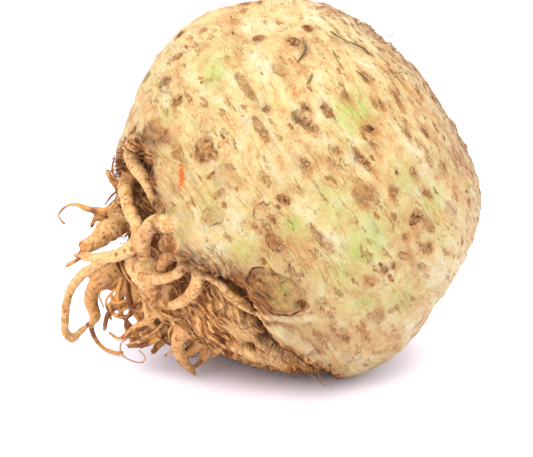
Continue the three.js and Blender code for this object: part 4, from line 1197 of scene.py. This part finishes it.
# %% The streak group: noise drawn out along the rings
WARP_SCALE, WARP_REACH, LINE_WIDTH = 0.055, 16.0, 0.022
streaks, given, out = flow_group(
    "Streaks", {"Across": 4.0, "Along": 20.0, "Detail": 3.0, "Wander": 1.0}, ["Value", "Line"])
warp = vector("SUBTRACT", texture(given["Flow"], WARP_SCALE, 2.0).other("Color"), (0.5, 0.5, 0.5))
moved = vector("ADD", given["Flow"], vector("SCALE", warp, given["Wander"] * WARP_REACH))
grain = texture(drawn_out(moved), 1.0, given["Detail"], Roughness=0.55)
send(grain, out["Value"])
send(ramp(calc("ABSOLUTE", grain - 0.5), 0.0, LINE_WIDTH, 1.0, 0.0), out["Line"])

# %% The fleck group: scattered small marks, longer along the rings
flecks, given, out = flow_group("Flecks", {"Across": 3.0, "Along": 6.0, "Share": 0.5, "Size": 0.3}, ["Value"])
cells = node("ShaderNodeTexVoronoi", {"Vector": drawn_out(given["Flow"]), "Scale": 1.0})
lot = node("ShaderNodeSeparateColor", {0: cells.other("Color")})
uneven = texture(given["Flow"], 0.9, 3.0) * 1.1 + cells - 0.55
wide = given["Size"] * (lot.other(1) * 0.8 + 0.5)
inside = ramp(uneven - wide, -0.06, 0.06, 1.0, 0.0)
send(inside * calc("LESS_THAN", lot, given["Share"]), out["Value"])

# %% The squiggle group: short crooked marks, crowded in some places
squiggles, given, out = flow_group(
    "Squiggles", {"Across": 1.2, "Along": 3.0, "Width": 0.03, "Crowd": 0.5}, ["Value"])
crooked = texture(drawn_out(given["Flow"]), 1.0, 4.0, Roughness=0.6, Distortion=0.8)
where = texture(drawn_out(given["Flow"]), 0.45, 2.0)
thin = node("ShaderNodeMapRange", {
    "Value": calc("ABSOLUTE", crooked - 0.52), "From Min": 0.0, "From Max": given["Width"], "To Min": 1.0,
    "To Max": 0.0})
send(thin * ramp(where + given["Crowd"] - 1.0, -0.03, 0.06), out["Value"])

# %% The skin's colours
PALE, CREAM, PEACH = colour(255, 243, 198), colour(250, 225, 157), colour(241, 202, 138)
PINK, TANNED, MAUVE = colour(250, 222, 184), colour(222, 168, 102), colour(220, 184, 136)
GREENISH, STRAW, OLIVE = colour(202, 220, 116), colour(236, 222, 134), colour(178, 152, 106)
RUSTY, BROWN, DARK = colour(202, 124, 54), colour(146, 86, 38), colour(80, 44, 20)
ORANGE_RED = colour(238, 118, 30)
ROOT_PALE, ROOT_PINK = colour(300, 246, 168), colour(298, 226, 162)
# soil browns; the skin also uses them for its painted shade
ROOT_TAN, SOIL, SOIL_DARK = colour(264, 186, 94), colour(152, 84, 30), colour(62, 30, 8)
THREAD_DARK, THREAD_LIGHT = colour(104, 84, 26), colour(168, 146, 62)

skin, shader = new_material("celeriac_skin")
flow, bark_flow = kept("flow", "Vector"), kept("bark", "Vector")
place = node("ShaderNodeTexCoord").other("Object")

# %% What all the layers read: streaks, noises of several sizes, and facts kept on the points
broad = use(streaks, flow, 7.0, 26.0, Detail=3.0, Wander=0.8)
fine = use(streaks, flow, 1.9, 9.0, Detail=4.0, Wander=0.5)
finest = use(streaks, flow, 0.7, 2.2, Detail=3.0, Wander=0.3)
hair_lines = use(streaks, flow, 4.0, 46.0, Detail=1.5, Wander=0.55).other("Line")
blotch, mottle = texture(place, 62.0, 4.0), texture(place, 230.0, 5.0, Roughness=0.65)
ruffled, lumpy = texture(place, 420.0, 4.0), texture(place, 640.0, 1.0)
speck, pore = texture(place, 900.0, 3.0), texture(place, 2000.0, 2.0)
crackle = texture(place, 330.0, 2.0, Roughness=0.5, Distortion=2.0)
grainy = ramp(ruffled, 0.4, 0.62)
crusty_f, tan_f, ridge_f = kept("crusty"), kept("tan"), kept("ridge")
rusty_brown, rusty_dark = mix(grainy, RUSTY, BROWN), mix(grainy, RUSTY, DARK)
brown_dark = mix(grainy, BROWN, DARK)

# %% The bulb: bands and streaks from tan to pale cream, with green and mauve
shade = broad * 0.8 + fine * 0.35 + mottle * 0.7 + finest * 0.15 + pore * 0.5
shade = shade - crusty_f * 0.02 - tan_f * 0.12 - 0.2
green_f = kept("green") * ramp(fine, 0.36, 0.56, 0.35, 1.1)
rust_f = ramp(fine, 0.56, 0.7) * ramp(broad, 0.58, 0.44) * (crusty_f * 0.3 + 0.3)
line_f = hair_lines * ramp(blotch, 0.42, 0.6, 0.0, 0.6) * ramp(ruffled, 0.36, 0.56, 0.3, 1.0)
bulb_colour = coats(
    TANNED,
    (ramp(shade, 0.82, 0.98), PEACH),
    (ramp(shade, 0.93, 1.07), CREAM),
    (ramp(shade, 1.05, 1.24), PALE),
    (calc("MULTIPLY", tan_f, 0.4, clamp=True), PEACH),
    (calc("MULTIPLY", tan_f, ramp(blotch, 0.44, 0.64, 0.0, 0.6), clamp=True), MAUVE),
    (crusty_f * 0.4, PINK),
    (ramp(broad.other("Line") + blotch, 0.55, 0.85, 0.0, 0.4), STRAW),
    (calc("MULTIPLY", green_f, ramp(blotch, 0.3, 0.55, 0.6, 1.0), clamp=True), GREENISH),
    (rust_f, RUSTY),
    (line_f, RUSTY),
)

# %% The bulb: flecks and squiggles, most near the crown, then the pale ridges, pale bark with a painted highlight, and the orange streak
share = crusty_f * 0.8 + 0.06
small = use(flecks, flow, 1.9, 4.2, Share=share, Size=0.3)
large = use(flecks, flow, 3.2, 7.0, Share=share, Size=0.34)
crowd = crusty_f * 0.19 + 0.39 + tan_f * 0.1
thick = use(squiggles, flow, 1.5, 4.0, Width=0.06, Crowd=crowd)
thin = use(squiggles, flow, 0.9, 1.8, Width=0.06, Crowd=crowd)
bold = use(squiggles, flow, 2.6, 6.5, Width=0.07, Crowd=crowd)
bulb_colour = coats(
    bulb_colour,
    (ramp(fine, 0.46, 0.64) * (crusty_f * 0.12), RUSTY),
    (bold * (crusty_f * 0.95), rusty_brown),
    (thick * 0.85, mix(0.35, RUSTY, BROWN)),
    (thin * 0.9, mix(crusty_f, RUSTY, BROWN)),
    (large * 0.7, rusty_brown),
    (small * 0.85, rusty_dark),
    # the ridges' crests: pale bark with a painted highlight
    (ridge_f * ramp(mottle, 0.4, 0.6, 0.8, 0.4), mix(ramp(fine, 0.4, 0.6), CREAM, PALE)),
    (kept("orange"), ORANGE_RED),
)

# %% The bulb: scars, with a ruffled edge, wrinkles inside, rings in the largest, and painted shade on one side of the rim
fill_f, rim_f, scar_at = kept("scar_fill"), kept("scar_rim"), kept("scar")
ruffled_by = (ruffled * 2.6 + speck * 1.6 - 2.1) * ramp(rim_f, 1.0, 2.0, 1.0, 0.35)
from_edge = kept("scar_edge") + ruffled_by  # millimetres outside the rim
wrinkles = ramp(calc("ABSOLUTE", crackle - 0.5), 0.01, 0.05, 1.0, 0.0)
rings = ramp(calc("SINE", scar_at * 22.0 + mottle * 16.0), 0.7, 1.0) * ramp(rim_f, 1.0, 2.0, 0.0, 0.85)
core = ramp(scar_at + ruffled_by, 0.0, 0.6, 1.0, 0.0) * ramp(fill_f, 0.5, 1.0, 0.1, 0.95)
scar_colour = coats(
    mix(ramp(ruffled, 0.42, 0.56), RUSTY, BROWN),
    (ramp(lumpy, 0.5, 0.58, 0.0, 0.9), PEACH),
    (ramp(fill_f, 0.35, 0.58, 0.75, 0.0), mix(grainy, TANNED, OLIVE)),
    (wrinkles * ramp(fill_f, 0.3, 1.0, 0.35, 0.95), DARK),
    (rings, brown_dark),
    (core * ramp(ruffled, 0.38, 0.56, 0.3, 1.0), DARK),
)
in_f = ramp(from_edge, -0.5, 0.2, 1.0, 0.0) * (fill_f + 0.02)
in_f = calc("MULTIPLY", in_f, ramp(mottle, 0.4, 0.54, 0.5, 1.0), clamp=True)
edge_f = ramp(calc("ABSOLUTE", from_edge), 0.05, 0.4, 1.0, 0.0) * rim_f
# painted shade on the rim's shaded side, over its own dark brown
edge_f = edge_f * ramp(kept("scar_shaded_side"), -0.6, 0.6, 0.15, 1.15)
edge_f = calc("MULTIPLY", edge_f, ramp(ruffled, 0.34, 0.54, 0.35, 1.0), clamp=True)
bulb_colour = coats(
    bulb_colour,
    (ramp(from_edge, 0.0, 2.0, 1.0, 0.0) * (fill_f * 0.5), RUSTY),
    (in_f, scar_colour),
    (edge_f, brown_dark),
)

# %% The tuft: streaked bark on the ground between the roots
fibre = use(streaks, bark_flow, 0.8, 5.0, Detail=5.0, Wander=0.35)
strips = use(streaks, bark_flow, 3.4, 16.0, Detail=3.0, Wander=0.5)
ground_colour = coats(
    mix(ramp(fibre, 0.42, 0.6), SOIL, ROOT_TAN),
    (ramp(strips, 0.52, 0.66, 0.0, 0.55), mix(grainy, ROOT_PALE, ROOT_TAN)),
    (ramp(fibre, 0.54, 0.62, 0.0, 0.7), ROOT_PALE),
    (ramp(fibre, 0.44, 0.36, 0.0, 0.8), SOIL_DARK),
    # the ridges' crests: pale bark with a painted highlight
    (ridge_f * ramp(fibre, 0.36, 0.52, 0.6, 1.0), ROOT_PALE),
)

# %% The tuft: banded and spotted roots, the palest with the fewest marks
tone_f, root_f = kept("tone"), kept("root")
back_f = node("ShaderNodeSeparateXYZ", {0: place}).other("Y")
band_at = node("ShaderNodeCombineXYZ", {0: kept("along") * 1.5 + tone_f * 80.0, 1: back_f * 420.0})
bands = texture(band_at, 1.0, 4.0, Roughness=0.6)
marked = ramp(tone_f, 0.0, 0.3, 0.6, 1.0)
spots = use(flecks, vector("SCALE", place, 1000.0), 2.6, 2.6, Share=0.55, Size=0.24)
root_colour = coats(
    mix(tone_f * 0.9, ROOT_PALE, ROOT_TAN),
    (ramp(bands, 0.5, 0.66, 0.0, 0.5), TANNED),
    (ramp(blotch, 0.44, 0.6, 0.0, 0.35), ROOT_PINK),
    (ramp(mottle, 0.48, 0.6, 0.0, 0.45), ROOT_TAN),
    (marked * ramp(bands, 0.6, 0.7, 0.0, 0.6), RUSTY),
    (marked * ramp(ruffled, 0.54, 0.68, 0.0, 0.45), RUSTY),
    (marked * ramp(speck, 0.54, 0.66, 0.0, 0.4), RUSTY),
    (marked * ramp(lumpy, 0.64, 0.7, 0.0, 0.5), BROWN),
    (ramp(mottle, 0.55, 0.7, 0.0, 0.45), TANNED),
    (spots * 0.75, rusty_brown),
    (kept("tip") * ramp(ruffled, 0.38, 0.58, 0.45, 0.95), mix(grainy, RUSTY, SOIL)),
)

# %% Bulb and tuft together, with dirt and painted shade, and fine specks over both
tuft_f = ramp(kept("tuft") + ruffled * 0.9 - 0.45, 0.2, 0.8)
dirt_and_shade_f = calc("MULTIPLY", kept("dirt_and_shade"), ramp(fibre, 0.36, 0.6, 1.3, 0.55), clamp=True)
whole = coats(
    mix(tuft_f, bulb_colour, mix(root_f, ground_colour, root_colour)),
    # dirt and painted shade, in soil browns
    (dirt_and_shade_f * 0.85, mix(grainy, SOIL, SOIL_DARK)),
    (ramp(speck, 0.52, 0.72, 0.0, 0.25), RUSTY),
    (ramp(pore, 0.54, 0.72, 0.0, 0.3), mix(0.5, RUSTY, BROWN)),
)
send(whole, shader["Base Color"])
print("the skin's colour takes", len(tree.nodes), "nodes")

# %% Gloss, fine relief, and light that sinks in a little
roughness = ramp(mottle, 0.35, 0.65, 0.48, 0.68) + in_f * 0.2
send(calc("MULTIPLY_ADD", dirt_and_shade_f, 0.2, roughness, clamp=True), shader["Roughness"])
bulb_height = ruffled * 0.6 + fine * 0.4 + mottle * 0.7 + finest * 0.25 + speck * 0.15 + pore * 0.2
bulb_height = bulb_height - line_f * 0.3 - small * 0.25 - thick * 0.3 - (edge_f + in_f * wrinkles) * 0.4
tuft_height = blend(root_f, fibre * 1.8, ruffled * 0.5 + bands)
bump = node("ShaderNodeBump", {
    "Height": blend(tuft_f, bulb_height, tuft_height), "Strength": 0.85, "Distance": 0.0009})
send(bump, shader["Normal"])
shader["Subsurface Weight"].default_value = 0.08
shader["Subsurface Radius"].default_value = (0.003, 0.0016, 0.0007)
shader["Subsurface Scale"].default_value = 1.0
shader["Specular IOR Level"].default_value = 0.18
for piece in (bulb_skin, tuft_skin):
    piece.data.materials.append(skin)


# %% The rootlets' and hairs' materials
def thread_material(name, dark, light):
    """A dry strand's material: patches of a dark and a light colour, with brown knots."""
    made, shader = new_material(name)
    place = node("ShaderNodeTexCoord").other("Object")
    knots = texture(place, 800.0, 2.0)
    tint = mix(ramp(texture(place, 170.0, 3.0), 0.38, 0.6), dark, light)
    send(mix(ramp(knots, 0.54, 0.68, 0.0, 0.5), tint, BROWN), shader["Base Color"])
    send(ramp(knots, 0.3, 0.7, 0.6, 0.85), shader["Roughness"])
    send(node("ShaderNodeBump", {"Height": knots, "Strength": 0.5, "Distance": 0.0003}), shader["Normal"])
    return made


thread = thread_material("rootlet", SOIL, ROOT_TAN)
dark_thread = thread_material("dark_hair", SOIL_DARK, SOIL)
golden = thread_material("golden_hair", SOIL, ROOT_TAN)
olive_thread = thread_material("olive_thread", THREAD_DARK, THREAD_LIGHT)

# %% The rootlets and the threads, a piece of each
ROOTLET_SIDES = 7
tube_pieces = []
for name, paths_of, material in (("rootlets", lines, thread), ("skin_threads", skin_lines, olive_thread)):
    line_object = curve_object(name + "_lines", paths_of)
    made = evaluated(line_object, tubes, {"Sides": ROOTLET_SIDES, "Material": material})
    made.shade_smooth()
    bpy.data.objects.remove(line_object)
    tube_pieces.append(link(bpy.data.objects.new(name, made)))
    print(name, sum(len(p.vertices) - 2 for p in made.polygons), "triangles")

# %% [markdown]
# ## Hairs
#
# Fine brown root hairs mat the crease and the ground between the roots, and longer, paler ones stand
# out among them. Geometry nodes scatter both over the tuft, more where `hairy` is high, and let each
# one curl by noise.

# %% Where hairs grow
used = np.unique(quads[in_tuft])
hairy = np.clip(1.5 * in_crease * (0.3 + 0.7 * matted) + 0.5 * sunk * matted + 0.04, 0, 1)
hairy *= (1 - root) * (1 - ridge) * smooth((co[:, 2] - 13) / 6)
tuft_skin.data.attributes.new("hairy", "FLOAT", "POINT").data.foreach_set("value", hairy[used])

# %% The hair tree: points on the ground, a line on each, its curl, its taper
hairs, given, out = group_tree(
    "RootHairs",
    "GeometryNodeTree",
    {"Ground": ("Geometry", None), "Density": ("Float", 1.0), "Length": ("Float", 0.006),
     "Thickness": ("Float", 0.0001), "Curl": ("Float", 0.004), "Seed": ("Int", 1),
     "Material": ("Material", None)},
    {"Mesh": "Geometry"},
)
LEANS, TURNS, STARTS_IN, HAIR_POINTS, HAIR_SIDES = 1.25, 3.1, 0.0006, 9, 3
SHORTEST, LONGEST, TIP = 0.5, 1.5, 0.25  # shares of the length, and of the thickness at the end
CURL_SCALE, CURL_MIDDLE = 190.0, (0.5, 0.5, 0.56)  # past the middle of the noise, so hairs droop
hairy_f = node("GeometryNodeInputNamedAttribute", {"Name": "hairy"}, data_type="FLOAT")
points = node("GeometryNodeDistributePointsOnFaces", {
    "Mesh": given["Ground"], "Density": hairy_f * given["Density"], "Seed": given["Seed"]})
line_end = node("ShaderNodeCombineXYZ", {2: given["Length"]})
line = node("GeometryNodeCurvePrimitiveLine", {"Start": (0, 0, -STARTS_IN), "End": line_end})
fine_line = node("GeometryNodeResampleCurve", {"Curve": line, "Count": HAIR_POINTS})
tilt = node("FunctionNodeRandomValue", {
    0: (-LEANS, -LEANS, -TURNS), 1: (LEANS, LEANS, TURNS), "Seed": given["Seed"]}, data_type="FLOAT_VECTOR")
facing = node("FunctionNodeRotateRotation", {
    0: points.other("Rotation"), 1: node("FunctionNodeEulerToRotation", {0: tilt})}, rotation_space="LOCAL")
long = node("FunctionNodeRandomValue", {
    2: SHORTEST, 3: LONGEST, "Seed": given["Seed"]}, data_type="FLOAT").other(1)
placed = node("GeometryNodeInstanceOnPoints", {
    "Points": points, "Instance": fine_line, "Rotation": facing, "Scale": long})
real = node("GeometryNodeRealizeInstances", {0: placed})
part = node("GeometryNodeSplineParameter").other("Factor")
curling = texture(node("GeometryNodeInputPosition"), CURL_SCALE, 1.0).other("Color")
shift = vector("SCALE", vector("SUBTRACT", curling, CURL_MIDDLE), part * given["Curl"])
curled = node("GeometryNodeSetPosition", {"Geometry": real, "Offset": shift})
thickness = (part * (TIP - 1.0) + 1.0) * given["Thickness"]
send(swept(curled, HAIR_SIDES, thickness, given["Material"]), out[0])

# %% The short dark hairs and the long golden ones, a piece of each
HAIR_FLOOR = 0.0001
HAIRS = {  # density for each square metre; lengths in metres
    "root_hairs": {
        "Density": 8e5, "Length": 0.005, "Thickness": 0.00011, "Curl": 0.006, "Seed": 4,
        "Material": dark_thread},
    "long_hairs": {
        "Density": 1.7e5, "Length": 0.009, "Thickness": 0.00017, "Curl": 0.015, "Seed": 9,
        "Material": golden},
}
hair_pieces = []
for name, values in HAIRS.items():
    hair_mesh = evaluated(tuft_skin, hairs, values)
    hair_co = coordinates(hair_mesh)
    hair_co[:, 2] = np.maximum(hair_co[:, 2], HAIR_FLOOR)
    hair_mesh.vertices.foreach_set("co", hair_co.ravel())
    hair_pieces.append(link(bpy.data.objects.new(name, hair_mesh)))
    print(name, sum(len(p.vertices) - 2 for p in hair_mesh.polygons), "triangles")

# %% [markdown]
# ## A plain studio
#
# A white floor, wide soft lights from above and in front, and the eye a little above the root,
# looking slightly down. The floor is as bright as white gets, apart from a faint violet shadow.

# %% Floor
FLOOR_CORNERS = [(-3, -3, 0), (3, -3, 0), (3, 5, 0), (-3, 5, 0)]
floor_mesh = bpy.data.meshes.new("floor")
floor_mesh.from_pydata(FLOOR_CORNERS, [], [(0, 1, 2, 3)])
floor = link(bpy.data.objects.new("floor", floor_mesh))
paper, shader = new_material("paper")
shader["Base Color"].default_value = (0.93, 0.90, 1.0, 1)
shader["Roughness"].default_value = 0.9
floor_mesh.materials.append(paper)

# %% Lights
SKY_TINT, SKY_STRENGTH = (0.95, 0.95, 1.0, 1), 1.62
scene = bpy.context.scene
scene.world = bpy.data.worlds.new("studio")
scene.world.use_nodes = True
sky = scene.world.node_tree.nodes["Background"].inputs
sky["Color"].default_value = SKY_TINT
sky["Strength"].default_value = SKY_STRENGTH


def lamp(name, place, aim, size, watts, tint):
    """A round soft light at place, turned towards aim."""
    data = bpy.data.lights.new(name, "AREA")
    data.shape, data.size, data.energy, data.color = "DISK", size, watts, tint
    made = link(bpy.data.objects.new(name, data))
    made.location = place
    made.rotation_euler = (Vector(aim) - Vector(place)).to_track_quat("-Z", "Y").to_euler()


middle = (0, 0, 0.06)
lamp("key", (-0.5, -0.75, 0.95), middle, 0.9, 11.7, (1.0, 0.97, 0.92))
lamp("fill", (0.9, -0.5, 0.7), middle, 0.8, 1.8, (1.0, 0.98, 0.96))
lamp("top", (0.3, 0.0, 1.3), (0.1, 0, 0), 1.0, 11.0, (0.99, 0.98, 1.0))

# %% Camera
FOCAL_LENGTH, SENSOR_WIDTH, CLIP_START = 100, 36, 0.01
lens = bpy.data.cameras.new("camera")
lens.lens, lens.sensor_width, lens.clip_start = FOCAL_LENGTH, SENSOR_WIDTH, CLIP_START
camera = link(bpy.data.objects.new("camera", lens))
eye = seen(EYE_RIGHT, EYE_UP, 0) + CENTRE + ROOT_NEAR * EYE_DISTANCE
camera.location = eye / 1000
camera.rotation_euler = Euler((math.pi / 2 - TILT, 0, 0))
scene.camera = camera
scene.view_settings.view_transform = "Standard"

# %% Put the pieces on the root's body, and hide the solid part
for piece in (bulb_skin, tuft_skin, *tube_pieces, *hair_pieces):
    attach(piece, "root")
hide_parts("celeriac")
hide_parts("celeriac")
